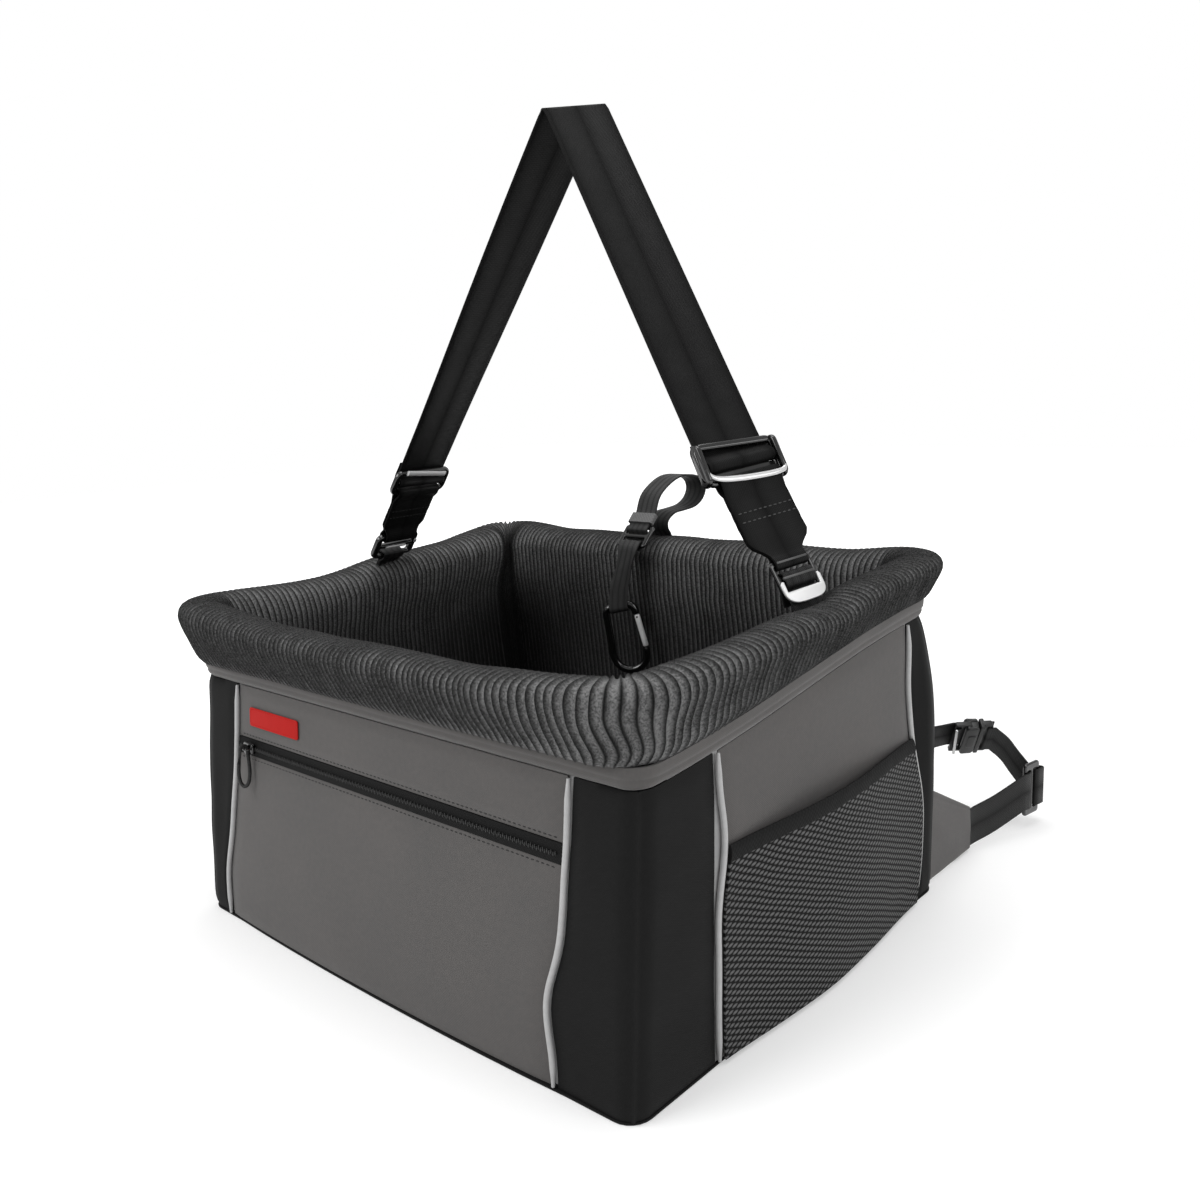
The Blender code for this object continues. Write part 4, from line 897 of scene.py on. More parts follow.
def makeFloorPad():
    halfX = box["halfWidth"] - box["linerInner"] - floorPad["room"]
    halfY = halfDepth(box["floorTop"] + floorPad["edge"]) - box["linerInner"] - floorPad["room"]
    low = box["floorTop"] + clearance
    ribs = round(2 * halfX / floorPad["ribPitch"])
    mesh = measuredGrid(ribs * floorPad["columnsPerRib"], floorPad["rows"], (2 * halfX, 2 * halfY))
    made = bmesh.ops.extrude_face_region(mesh, geom=mesh.faces[:])
    inner = {item for item in made["geom"] if isinstance(item, bmesh.types.BMVert)}
    # Share along each rib's profile, used only to paint shade into the grooves
    layer = mesh.verts.layers.float.new("ribCrestLight")
    paintedLightLayer = mesh.verts.layers.float.new("paintedLight")
    for vert in mesh.verts:
        # The pad lies deep in the box, so it gets the lining's painted shade at half light
        vert[paintedLightLayer] = 0.5
        x, y, _ = vert.co
        share = (x + 1) / 2 * ribs % 1
        ridge = 1 - abs(2 * share - 1) ** 3 if 0.001 < share < 0.999 else 0
        edge = min(1 - abs(x), 1 - abs(y)) / floorPad["edgeShare"]
        swell = (1 - x ** 4) * (1 - y ** 4)
        soft = math.sqrt(max(0.0, 1 - (1 - min(edge, 1)) ** 2))
        reachX = halfX - floorPad["drawIn"] * (1 - y * y)
        reachY = halfY - floorPad["drawIn"] * (1 - x * x)
        top = low + floorPad["edge"] * (0.35 + 0.65 * soft) + floorPad["crown"] * swell
        top += (ridge - 1) * floorPad["ribHeight"] * min(edge, 1)
        top += noise.noise(Vector((x * 5, y * 4, 0))) * floorPad["unevenness"]
        vert[layer] = ridge
        vert.co = (x * reachX, y * reachY, low if vert in inner else top)
    made = finishMesh(mesh, "floorCushion", plushLook, nodes=("floor_pad",), slot="grey_plush", sharp=180)


makeFloorPad()

# Cloth panels of the walls
panel = {"puff": 1.4 * mm, "tuck": 1.1 * mm, "tuckReach": 7 * mm, "wrinkle": 0.7 * mm, "columns": 40, "rows": 28,
         "foot": 4.5 * mm, "footReach": 55 * mm, "footHalf": 165 * mm}


def panelSwell(spot, across, up, width, height, puff):
    rise = puff * math.sin(math.pi * min(max(across, 0), 1)) ** 0.6 * math.sin(math.pi * min(max(up, 0), 1)) ** 0.6
    nearest = min(across * width, (1 - across) * width, up * height, (1 - up) * height)
    tucked = panel["tuck"] * (1 - ease(nearest / panel["tuckReach"]))
    crease = noise.noise(Vector((spot.x * 14, spot.y * 14, spot.z * 22))) * panel["wrinkle"]
    return rise + crease * ease(nearest / panel["tuckReach"]) - tucked


def wallPanel(name, side, low, high, node, room=pipingRoom, puff=panel["puff"], sewn=None):
    width = 0.3 if side in ("front", "back") else 0.22
    height = (high or box["frontSeam"]) - low

    def place(across, up, skin):
        middle = low if high is not None else box["frontSeam"]
        rough = between(pipingPlace(side, -1, middle), pipingPlace(side, 1, middle), across)
        back = rough if side in ("left", "right") else {"front": -1, "back": 1}[side] * box["halfDepth"]
        top = high if high is not None else seamHeight(back) - clearance
        level = between(low, top, up)
        along = betweenPipings(side, across, level, room)
        swell = panelSwell(wallPoint(side, along, level, 0), across, up, width, height, puff)
        if side == "front":
            swell += panel["foot"] * math.sin(math.pi * across) ** 0.7 * math.exp(-(level / panel["footReach"]) ** 2)
        return wallPoint(side, along, level, skin * box["cloth"] - swell)

    if sewn is not None:
        points = [place(between(0.01, 0.99, step / 60), sewn, 0) + Vector((0, -0.1 * mm, 0)) for step in range(61)]
        stitches(f"{name}Stitching", points, Vector((0, -1, 0)), darkThread, slot="grey_cloth")
    slab(name, place, panel["columns"], panel["rows"], greyCloth, (width, height), nodes=(node,), slot="grey_cloth")


zipSizes = {"low": 124 * mm, "high": 136 * mm}

wallPanel("frontPanelUpper", "front", zipSizes["high"], None, "front_panel_upper", puff=0.5 * mm, sewn=0.06)
wallPanel("frontPanelLower", "front", box["wallLow"], zipSizes["low"], "front_panel_lower", sewn=0.982)
for side in ("right", "left"):
    wallPanel(f"{side}Panel", side, box["wallLow"], None, f"{side}_panel", puff=0.6 * mm)
wallPanel("backPanel", "back", box["wallLow"], None, "back_panel", room=clearance)


# Black panels that wrap the box's upright edges
cornerPanel = {"flatSteps": 10, "arcSteps": 12, "rows": 36, "ridge": 1.5 * mm, "puff": 0.8 * mm, "backSwell": 6.5 * mm,
               "size": (0.07, 0.18)}


def makeCornerPanel(name, signs, node):
    flat = cornerPanel["flatSteps"]
    arc = cornerPanel["arcSteps"]
    columns = 2 * flat + arc
    face = "front" if signs[1] < 0 else "back"

    def plan(step, height, depth):
        radius = box["corner"] - depth
        middleX = halfWidth(height) - box["corner"]
        middleY = halfDepth(height) - box["corner"]
        if step < flat:
            start = abs(pipingPlace(face, signs[0], height)) + pipingRoom
            spot = (between(start, middleX, step / flat), middleY + radius)
        elif step > flat + arc:
            start = abs(pipingPlace("side", signs[1], height)) + pipingRoom
            spot = (middleX + radius, between(start, middleY, (columns - step) / flat))
        else:
            angle = math.pi / 2 * (1 - (step - flat) / arc)
            spot = (middleX + radius * math.cos(angle), middleY + radius * math.sin(angle))
        return spot[0] * signs[0], spot[1] * signs[1]

    def place(across, up, skin):
        step = round(across * columns)
        back = plan(step, box["frontSeam"], 0)[1]
        height = between(box["wallLow"], seamHeight(back) - clearance, up)
        spot = Vector((*plan(step, height, 0), height))
        swell = panelSwell(spot * 1.6, across, up, *cornerPanel["size"], cornerPanel["puff"])
        swell += noise.noise(Vector((across * 3.1 + signs[0], up * 2.2, signs[1]))) * mm * math.sin(math.pi * up)
        if step == flat + arc // 2:
            swell += cornerPanel["ridge"]
        if signs == (1, 1):
            beside = (step - flat - arc / 2) / (arc * 0.8)
            swell += cornerPanel["backSwell"] * math.sin(math.pi * up ** 1.6) * math.exp(-beside ** 2)
        x, y = plan(step, height, skin * box["cloth"] - swell)
        return Vector((x, y, height))

    slab(name, place, columns, cornerPanel["rows"], blackCloth, cornerPanel["size"], nodes=(node,),
         slot="black_cloth", sharp=70)


for signs in ((1, -1), (1, 1), (-1, 1), (-1, -1)):
    faceWord = "front" if signs[1] < 0 else "back"
    handWord = "right" if signs[0] > 0 else "left"
    makeCornerPanel(f"corner{faceWord.title()}{handWord.title()}", signs, f"corner_panel_{faceWord}_{handWord}")

# Light piping between the panels
piping = {"radius": 1.8 * mm, "sink": 0.4 * mm, "lowEnd": 0.4 * mm, "highEnd": 0.6 * mm, "steps": 48}


def makePiping(side, end, word):
    steps = piping["steps"]
    seam = box["frontSeam"]
    if side != "front":
        seam = seamHeight(pipingPlace(side, end, box["backSeam"]))
    points = []
    for step in range(steps + 1):
        height = between(box["wallLow"] + piping["lowEnd"], seam - piping["highEnd"], step / steps)
        points.append(wallPoint(side, pipingPlace(side, end, height), height, -piping["sink"]))
    radii = [piping["radius"] * min(1, 0.55 + 0.45 * min(step, steps - step) / 3) for step in range(steps + 1)]
    tube(f"piping{side.title()}{word.title()}", points, radii, pipingLook, nodes=(f"piping_{side}_{word}",),
         slot="light_piping")


for side, words in (("front", ("left", "right")), ("right", ("front", "back")), ("left", ("front", "back"))):
    for end, word in zip((-1, 1), words):
        makePiping(side, end, word)

# The smooth strip between the seam and the plush, with a fold pressed along it
band = {"fold": 0.45, "foldDepth": 0.7 * mm, "foldWidth": 0.07, "bulge": 0.8 * mm, "tuck": 1.2 * mm, "tuckShare": 0.18,
        "wrinkle": 0.5 * mm, "rows": 12}


def makeBand():
    places = stations(40, 10)
    columns = len(places)
    outer = [step / band["rows"] for step in range(band["rows"] + 1)]
    section = [(0, up) for up in outer] + [(1, up) for up in reversed(outer)]

    def place(column, row):
        station = places[row]
        skin, up = section[column]
        rough = outlinePoint(station, halfWidth(box["frontSeam"]), halfDepth(box["frontSeam"]), box["corner"], 0)
        seam = seamHeight(rough.y) + clearance
        outward = box["bandFlare"] * up + band["bulge"] * math.sin(math.pi * up)
        outward -= band["foldDepth"] * math.exp(-((up - band["fold"]) / band["foldWidth"]) ** 2)
        outward -= band["tuck"] * (1 - ease(up / band["tuckShare"]))
        outward += noise.noise(Vector((rough.x * 40, rough.y * 40, up * 2))) * band["wrinkle"]
        spot = outlinePoint(station, halfWidth(seam), halfDepth(seam), box["corner"], outward - skin * box["cloth"])
        height = seamHeight(spot.y) + between(clearance, box["bandHeight"], up)
        return Vector((spot.x, spot.y, height))

    hose("smoothBand", place, len(section), columns, greyCloth, (0.03, 1.4), looped=True, nodes=("collar_band",),
         slot="grey_cloth", sharp=60)


makeBand()


def makeBottom():
    mesh = bmesh.new()
    layer = mesh.loops.layers.uv.new("UVMap")
    spots = []
    for station in stations(12, 6):
        spot = outlinePoint(station, box["halfWidth"] - 0.4 * mm, box["halfDepth"] - 0.4 * mm, box["corner"], 0)
        if spot.y < -box["halfDepth"] + 1 * mm:
            spot.y -= panel["foot"] * max(0, math.cos(math.pi * spot.x / (2 * panel["footHalf"]))) ** 0.7
        spots.append(mesh.verts.new((spot.x, spot.y, 0)))
    face = mesh.faces.new(spots)
    made = bmesh.ops.extrude_face_region(mesh, geom=[face])
    top = [item for item in made["geom"] if isinstance(item, bmesh.types.BMVert)]
    bmesh.ops.translate(mesh, verts=top, vec=(0, 0, box["cloth"]))
    bmesh.ops.bevel(mesh, geom=[edge for edge in mesh.edges if abs(edge.verts[0].co.z - edge.verts[1].co.z) < 1e-6],
                    offset=0.5 * mm, segments=2, profile=0.5, affect="EDGES", material=-1, clamp_overlap=True)
    for face in mesh.faces:
        for loop in face.loops:
            loop[layer].uv = loop.vert.co.xy
    finishMesh(mesh, "bottomCloth", blackCloth, nodes=("bottom_panel",), slot="black_cloth")


makeBottom()
print("walls ready")

# Side pockets of net under a bound edge
pocket = {"low": 3 * mm, "high": 112 * mm, "thickness": 1.2 * mm, "bulge": 9 * mm, "footShare": 0.7,
          "reachShare": 0.82, "bindingHigh": 123 * mm, "bindingThickness": 2 * mm, "bindingFace": 1.7 * mm,
          "netFace": 1.9 * mm, "room": 2.4 * mm, "full": 3 * mm, "ripple": 0.8 * mm, "pucker": 0.35 * mm, "lap": 2 * mm,
          "columns": 40, "rows": 24, "flat": (0.238, 0.118)}


def netSwell(across, up):
    hang = pocket["footShare"] + (1 - pocket["footShare"]) * math.sin(math.pi * up * pocket["reachShare"])
    return pocket["bulge"] * math.sin(math.pi * across) ** 1.6 * hang


def makePocket(side):
    def placeNet(across, up, skin):
        height = between(pocket["low"], pocket["high"] + pocket["lap"], up)
        ripple = noise.noise(Vector((across * 4, up * 3, 5))) * pocket["ripple"] * math.sin(math.pi * across)
        full = pocket["full"] * math.sin(math.pi * across) * (1 - across) * math.exp(-(up / 0.4) ** 2)
        out = pocket["netFace"] + netSwell(across, up) + full + ripple + skin * pocket["thickness"]
        return wallPoint(side, betweenPipings(side, across, height, pocket["room"]), height, -out)

    def placeBinding(across, up, skin):
        height = between(pocket["high"] + clearance, pocket["bindingHigh"], up)
        rounding = 0.7 * mm * (1 - math.sqrt(max(0, 1 - (2 * up - 1) ** 2)))
        pucker = noise.noise(Vector((across * 26, up * 2, 1))) * pocket["pucker"]
        thickness = skin * pocket["bindingThickness"] * (1 - rounding / mm)
        out = pocket["bindingFace"] + netSwell(across, 1) + thickness + pucker
        return wallPoint(side, betweenPipings(side, across, height, pocket["room"]), height, -out)

    name = side.title()
    net = slab(f"net{name}", placeNet, pocket["columns"], pocket["rows"], netLook, pocket["flat"],
               nodes=(f"pocket_mesh_{side}",), slot="black_net")
    slab(f"netBinding{name}", placeBinding, 60, 6, elasticLook, (0.238, 0.011),
         nodes=(f"pocket_binding_{side}",), slot="black_cloth")


for side in ("right", "left"):
    makePocket(side)

# Zip pocket
zipPart = {"teethPitch": 1.5 * mm, "tooth": (0.5 * mm, 0.55 * mm, 1.35 * mm), "toothFace": 0.95 * mm,
           "toothSide": 0.35 * mm, "coilEnd": 3 * mm, "tapeFace": 0.4 * mm, "tapeThickness": 0.8 * mm,
           "tapeBow": 0.5 * mm, "sliderPlace": -141.3 * mm}


def frontFrame(along, height):
    lean = math.atan(box["depthLean"] / box["frontSeam"])
    return frameOf(wallPoint("front", along, height, 0), (1, 0, 0), Vector((0, math.cos(lean), -math.sin(lean))))


def makeZip():
    low = zipSizes["low"] + clearance
    high = zipSizes["high"] - clearance
    middle = (low + high) / 2

    def placeTape(across, up, skin):
        level = between(low, high, up)
        bow = zipPart["tapeBow"] * math.exp(-((up - 0.5) / 0.2) ** 2)
        depth = zipPart["tapeFace"] + skin * zipPart["tapeThickness"] - bow
        return wallPoint("front", betweenPipings("front", across, level), level, depth)

    slab("zipTape", placeTape, 30, 12, zipTape, (0.3, 0.0144), nodes=("zip_tape",), slot="zip_tape")
    start, end = (betweenPipings("front", share, middle, pipingRoom + zipPart["coilEnd"]) for share in (0, 1))
    place = frontFrame(0, middle)
    mesh = bmesh.new()
    count = int((end - start) / zipPart["teethPitch"])
    for index in range(count):
        x = start + (index + 0.5) * zipPart["teethPitch"]
        side = zipPart["toothSide"] * (1 if index % 2 else -1)
        matrix = place @ Matrix.Translation((x, -zipPart["toothFace"], side)) @ Matrix.Diagonal((*zipPart["tooth"], 1))
        bmesh.ops.create_uvsphere(mesh, u_segments=8, v_segments=5, radius=1, matrix=matrix)
    finishMesh(mesh, "zipCoil", moulded, nodes=("zip_coil",), slot="zip_tape", sharp=80)


makeZip()

# Red patch, bare, with its folded edge sewn down
patch = {"halfWidth": 29 * mm, "halfHeight": 6.5 * mm, "middle": (-112 * mm, 152.5 * mm), "thickness": 0.8 * mm,
         "face": 1.1 * mm, "inset": 1.3 * mm}


def makePatch():
    turned = frontFrame(*patch["middle"]) @ Matrix.Rotation(math.pi / 2, 4, "X")
    turned = turned @ Matrix.Translation((0, 0, patch["face"]))
    wide = patch["halfWidth"]
    high = patch["halfHeight"]
    made = oblongPlate("redPatch", (-wide, -high, wide, high), 2 * mm, patch["thickness"], 0.3 * mm, turned, patchLook,
                       nodes=("patch",), slot="red_patch")
    data = made.data
    layer = data.uv_layers.new(name="UVMap")
    back = turned.inverted()
    for loop in data.loops:
        layer.data[loop.index].uv = (back @ data.vertices[loop.vertex_index].co).xy
    wide -= patch["inset"]
    high -= patch["inset"]
    sewing = roundedOutline(-wide, -high, wide, high, 0.8 * mm, 2)
    points = placed(turned, [(*spot, patch["thickness"] / 2) for spot in [*sewing, sewing[0]]])
    stitches("patchStitching", points, Vector((0, -1, 0.1)), patchLook, length=1.6 * mm, gap=0.6 * mm,
             radius=0.22 * mm, slot="red_patch")


makePatch()


# Head strap
def legFrame(side):
    sign = 1 if side == "right" else -1
    back, lean = strap["anchors"][side]
    origin = Vector((sign * strap["out"], back, rimHeight(back)))
    up = (strap["apex"] - Vector((lean, lean, 0)) - origin).normalized()
    turn = strap[f"{side}Turn"]
    across = Vector((math.sin(turn), sign * math.cos(turn), 0))
    across = (across - up * across.dot(up)).normalized()
    return frameOf(origin, across, up)


strap = {
    "apex": Vector((0, 49 * mm, 546.5 * mm)),
    "anchors": {"left": (11 * mm, 0), "right": (20 * mm, 6 * mm)},
    "width": 50 * mm,
    "thickness": 1.5 * mm,
    "fold": 2 * mm,
    "rightTurn": math.radians(22),
    "leftTurn": math.radians(8),
    "apexTurn": math.radians(15),
    "apexTilt": math.radians(8),
    "rightAdjuster": 99 * mm,
    "leftAdjuster": 77 * mm,
    "rightFrameLength": 29 * mm,
    "leftFrameLength": 22 * mm,
    "frameSide": 4.5 * mm,
    "frameEnd": 4.5 * mm,
    "frameThickness": 4 * mm,
    "rightRoller": 2.6 * mm,
    "leftRoller": 1.8 * mm,
    "tail": 4 * mm,
    "runShares": (0.12, 0.25, 0.38, 0.5, 0.62, 0.75, 0.86, 0.94, 0.975),
    "out": 195 * mm,
}
legs = {side: legFrame(side) for side in ("left", "right")}


def wrapPath(place, radius, halfLength):
    thickness = strap["thickness"]
    turn = radius + clearance + thickness / 2
    front = -strap["frameThickness"] / 2 - clearance - thickness / 2
    behind = front - thickness - clearance
    end = place + halfLength
    path = [(end + strap["tail"], front), (end + thickness, front), (end - strap["frameEnd"], front + clearance)]
    for step in range(7):
        angle = between(math.radians(50), math.radians(-150), step / 6)
        path.append((place + turn * math.sin(angle), turn * math.cos(angle)))
    return path + [(place + radius * 1.5, behind), (end, behind), (end + strap["tail"], behind)]


def makeHeadStrap():
    half = strap["width"] / 2
    tilt = Vector((math.sin(strap["apexTurn"]) * math.cos(strap["apexTilt"]),
                   math.cos(strap["apexTurn"]) * math.cos(strap["apexTilt"]), math.sin(strap["apexTilt"])))
    ends = {}
    for side, place in legs.items():
        sign = 1 if side == "right" else -1
        path = wrapPath(strap[f"{side}Adjuster"], strap[f"{side}Roller"], strap[f"{side}FrameLength"] / 2)
        spots = placed(place, smoothPath([(0, along, sign * out) for along, out in path], 3))
        edge = (place.to_3x3() @ Vector((sign, 0, 0))) * half
        run = [(spots[0].lerp(strap["apex"], share), edge.lerp(tilt * half, ease(share)).normalized() * half)
               for share in strap["runShares"]]
        ends[side] = ([(spot, edge) for spot in reversed(spots)], run)
    leftEnd, leftRun = ends["left"]
    rightEnd, rightRun = ends["right"]
    leftWay, rightWay = ((strap["apex"] - run[-1][0]).normalized() for run in (leftRun, rightRun))
    middle = strap["apex"] - (leftWay + rightWay).normalized() * strap["fold"] * 2
    fold = []
    for step in range(9):
        share = step / 8
        way = leftWay.cross(tilt).normalized() * (1 - share) - rightWay.cross(tilt).normalized() * share
        fold.append((middle + way.normalized() * strap["fold"], tilt * half))
    whole = leftEnd + leftRun + fold + rightRun[::-1] + rightEnd[::-1]
    webbing("headStrap", [spot for spot, edge in whole], [edge for spot, edge in whole], strap["thickness"],
            strapLook, body="head_strap", nodes=("head_strap",), slot="black_webbing")


makeHeadStrap()
print("head strap ready")


# Hardware helpers
def barTurn(middle, halfLength, halfThickness, off, end):
    corner = off * math.sqrt(0.5)
    upper = [(middle - end * halfLength, halfThickness + off), (middle + end * halfLength, halfThickness + off),
             (middle + end * (halfLength + corner), halfThickness + corner),
             (middle + end * (halfLength + off), halfThickness)]
    return upper + [(along, -out) for along, out in reversed(upper)]


def loopPath(highBar, lowBar, thickness, highHalf, lowHalf):
    near = (thickness + clearance) / 2
    off = thickness / 2 + clearance
    highNeck = highBar - highHalf[0] - highHalf[1] * 2 - off
    lowNeck = lowBar + lowHalf[0] + lowHalf[1] * 2 + off
    neck = [(between(highNeck, lowNeck, step / 6), -near) for step in range(7)]
    over = barTurn(highBar, *highHalf, off, 1)
    under = barTurn(lowBar, *lowHalf, off, -1)
    return over + neck + under[::-1] + [(along, -out) for along, out in reversed(neck)]


def smoothLoop(points, steps):
    points = [Vector(point) for point in points]
    whole = smoothPath([points[-1], *points, points[0], points[1]], steps)
    return whole[steps:-2 * steps - 1] if steps > 1 else points


def roundRod(name, points, radius, look, **rest):
    ends = [radius * 0.5, radius * 0.85]
    first = (points[1] - points[0]).normalized()
    last = (points[-1] - points[-2]).normalized()
    path = [points[0] - first * radius * 0.5, points[0] - first * radius * 0.3, *points,
            points[-1] + last * radius * 0.3, points[-1] + last * radius * 0.5]
    radii = [*ends, *([radius] * len(points)), *ends[::-1]]
    return tube(name, path, radii, look, **rest)


def framePlate(name, low, high, half, thickness, corner, windows, matrix, look, rounding=0.8 * mm, **rest):
    outlines = [roundedOutline(-half, low, half, high, corner)]
    for windowLow, windowHigh, windowHalf in windows:
        outlines.append(roundedOutline(-windowHalf, windowLow, windowHalf, windowHigh, 1 * mm, 3))
    return plate(name, outlines, thickness, rounding, matrix, look, **rest)


sideways = Matrix(((0, 0, 1), (1, 0, 0), (0, 1, 0))).to_4x4()
facing = Matrix(((1, 0, 0), (0, 0, -1), (0, 1, 0))).to_4x4()

# Adjusters of the head strap
adjusters = {
    "loose": 0.6 * mm,
    "corner": 7 * mm,
    "skew": math.radians(5),
    "cheekThickness": 3.4 * mm,
    "cheekHalf": 5 * mm,
    "cheekCorner": 4.6 * mm,
    "backHeight": 12 * mm,
    "backThickness": 1.4 * mm,
    "lipFace": 4.4 * mm,
    "lipFlat": 0.55,
    "barFace": 3.2 * mm,
    "barRadius": 2.2 * mm,
    "barSlope": 0.085,
    "lip": [(27.5, 106), (28.2, 98), (28.2, 92.5), (26.4, 88.2), (18, 86.4), (0, 86), (-14, 86.6), (-22, 87.8),
            (-26, 90), (-27.4, 93)],
    "lipRadii": [0.35, 0.5, 0.9, 1.5, 1.9, 2, 2, 1.8, 1.4, 0.8],
}


def makeAdjusters():
    inside = strap["width"] / 2 + adjusters["loose"]
    centre = Vector((0, strap["rightAdjuster"], 0))
    turn = Matrix.Translation(centre) @ Matrix.Rotation(-adjusters["skew"], 4, "Z") @ Matrix.Translation(-centre)
    for side, place in (("left", legs["left"]), ("right", legs["right"] @ turn)):
        word = side.title()
        middle = strap[f"{side}Adjuster"]
        low = middle - strap[f"{side}FrameLength"] / 2
        high = low + strap[f"{side}FrameLength"]
        framePlate(f"adjusterFrame{word}", low, high, inside + strap["frameSide"], strap["frameThickness"],
                   adjusters["corner"], [(low + strap["frameEnd"], high - strap["frameEnd"], inside)], place,
                   glossBlack, 1.4 * mm, body="head_strap", nodes=(f"strap_adjuster_{side}",), slot="black_enamel")
        radius = strap[f"{side}Roller"]
        reach = inside - clearance - 0.5 * radius
        roundRod(f"adjusterRoller{word}", placed(place, [(-reach, middle, 0), (reach, middle, 0)]), radius, glossBlack,
                 segments=20, body="head_strap", nodes=(f"strap_roller_{side}",), slot="black_enamel")
    up = place.to_3x3() @ Vector((0, 1, 0))
    half = adjusters["cheekHalf"]
    thick = adjusters["cheekThickness"]
    for sign, word in ((-1, "Front"), (1, "Back")):
        matrix = place @ Matrix.Translation((sign * (inside + clearance + thick / 2), 0, 0)) @ sideways
        oblongPlate(f"adjusterCheek{word}", (low + 0.5 * mm, -half, high - 0.5 * mm, half), adjusters["cheekCorner"],
                    thick, 1.2 * mm, matrix, glossBlack, body="head_strap", slot="black_enamel")
    wide = inside - clearance
    oblongPlate("adjusterBack", (-wide, low + mm, wide, low + adjusters["backHeight"]), mm, adjusters["backThickness"],
                0.4 * mm, place @ Matrix.Translation((0, 0, -1.1 * mm)), glossBlack, body="head_strap",
                slot="black_enamel")
    lip = placed(place, [(x * mm, y * mm, adjusters["lipFace"]) for x, y in adjusters["lip"]])
    tube("adjusterLip", smoothPath(lip, 3), stretch(adjusters["lipRadii"], 3), brightMetal, segments=14,
         flat=adjusters["lipFlat"], up=up, body="head_strap", slot="bright_steel")
    place = legs["left"]
    high = strap["leftAdjuster"] + strap["leftFrameLength"] / 2 - strap["frameEnd"] / 2
    bar = placed(place, [(x, high + adjusters["barSlope"] * x, -adjusters["barFace"]) for x in (-22 * mm, 0, 22 * mm)])
    tube("adjusterBarLeft", bar, adjusters["barRadius"], gateMetal, segments=14, flat=0.5,
         up=place.to_3x3() @ Vector((0, 1, 0)), body="head_strap", slot="bright_steel")


def stretch(values, steps):
    result = []
    for start, end in zip(values, values[1:]):
        result += [between(start, end, step / steps) * mm for step in range(steps)]
    return result + [values[-1] * mm]


makeAdjusters()

# Sewn loops of webbing under the adjusters
stubs = {
    "wide": 45 * mm,
    "rightNarrow": 24 * mm,
    "leftNarrow": 34 * mm,
    "rightBar": 30.5 * mm,
    "leftBar": 25.75 * mm,
    "taper": 0.22,
    "threadOut": 0.1 * mm,
    "threadEnd": 1.5 * mm,
    "rightRows": (60 * mm, 66 * mm),
    "leftRows": (45 * mm, 51 * mm),
}
barHalf = {"right": (2 * mm, 1.2 * mm), "left": (1.75 * mm, 2.5 * mm)}


def makeStub(side):
    place = legs[side]
    high = strap[f"{side}Adjuster"] - strap[f"{side}FrameLength"] / 2 + strap["frameEnd"] / 2
    low = stubs[f"{side}Bar"]
    half = (strap["frameEnd"] / 2, strap["frameThickness"] / 2)
    path = loopPath(high, low, strap["thickness"], half, barHalf[side])
    spots = smoothLoop([(0, along, out) for along, out in path], 2)
    edges = []
    for spot in spots:
        share = ease((spot.y - low - barHalf[side][0] * 2) / ((high - low) * stubs["taper"]))
        wide = between(stubs[f"{side}Narrow"], stubs["wide"], share) / 2
        edges.append(place.to_3x3() @ Vector((wide + 0.5 * mm * noise.noise(spot * 300), 0, 0)))
    webbing(f"strapLoop{side.title()}", placed(place, spots), edges, strap["thickness"], strapLook,
            looped=True, body="head_strap", nodes=(f"strap_stub_{side}",), slot="black_webbing")
    facing = 1 if side == "right" else -1
    face = facing * (strap["thickness"] + clearance / 2 + stubs["threadOut"])
    reach = stubs["wide"] / 2 - stubs["threadEnd"]
    for number, row in enumerate(stubs[f"{side}Rows"]):
        points = placed(place, [(-reach, row, face), (reach, row, face)])
        stitches(f"loopStitching{side.title()}{number + 1}", points, place.to_3x3() @ Vector((0, 0, facing)),
                 greyThread if side == "right" else darkThread, body="head_strap", slot="black_webbing")


for side in ("right", "left"):
    makeStub(side)

# Ladder lock on the right leg: a black upper part with two slots and a bright rounded tongue
lock = {"low": 3.5 * mm, "tongue": 9 * mm, "slot": 6 * mm, "bar": 4 * mm, "side": 2.6 * mm, "thickness": 2.4 * mm,
        "bodyThickness": 2 * mm, "tongueThickness": 1.8 * mm, "tongueFace": 1.3 * mm, "dish": 0.9 * mm,
        "barFace": 2.2 * mm, "barRadius": 1.1 * mm}
anchor = {"width": 22 * mm, "thickness": 1.2 * mm, "sink": 9 * mm}


# Webbing that comes out of the roll and bends between the seat and the strap
def anchorWebbing(side, path, end):
    place = legs[side]
    spots = placed(place, smoothPath([(0, *spot) for spot in path], 2))
    edge = place.to_3x3() @ Vector((anchor["width"] / 2, 0, 0))
    made = webbing(f"anchorWebbing{side.title()}", spots, [edge] * len(spots), anchor["thickness"], plainWeb,
                   body=None, nodes=(f"anchor_webbing_{side}",), slot="black_webbing")
    start, end = placed(place, [(0, 0, 0), (0, end, 0)])
    tuple(start)
    tuple(end)
    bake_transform(made)


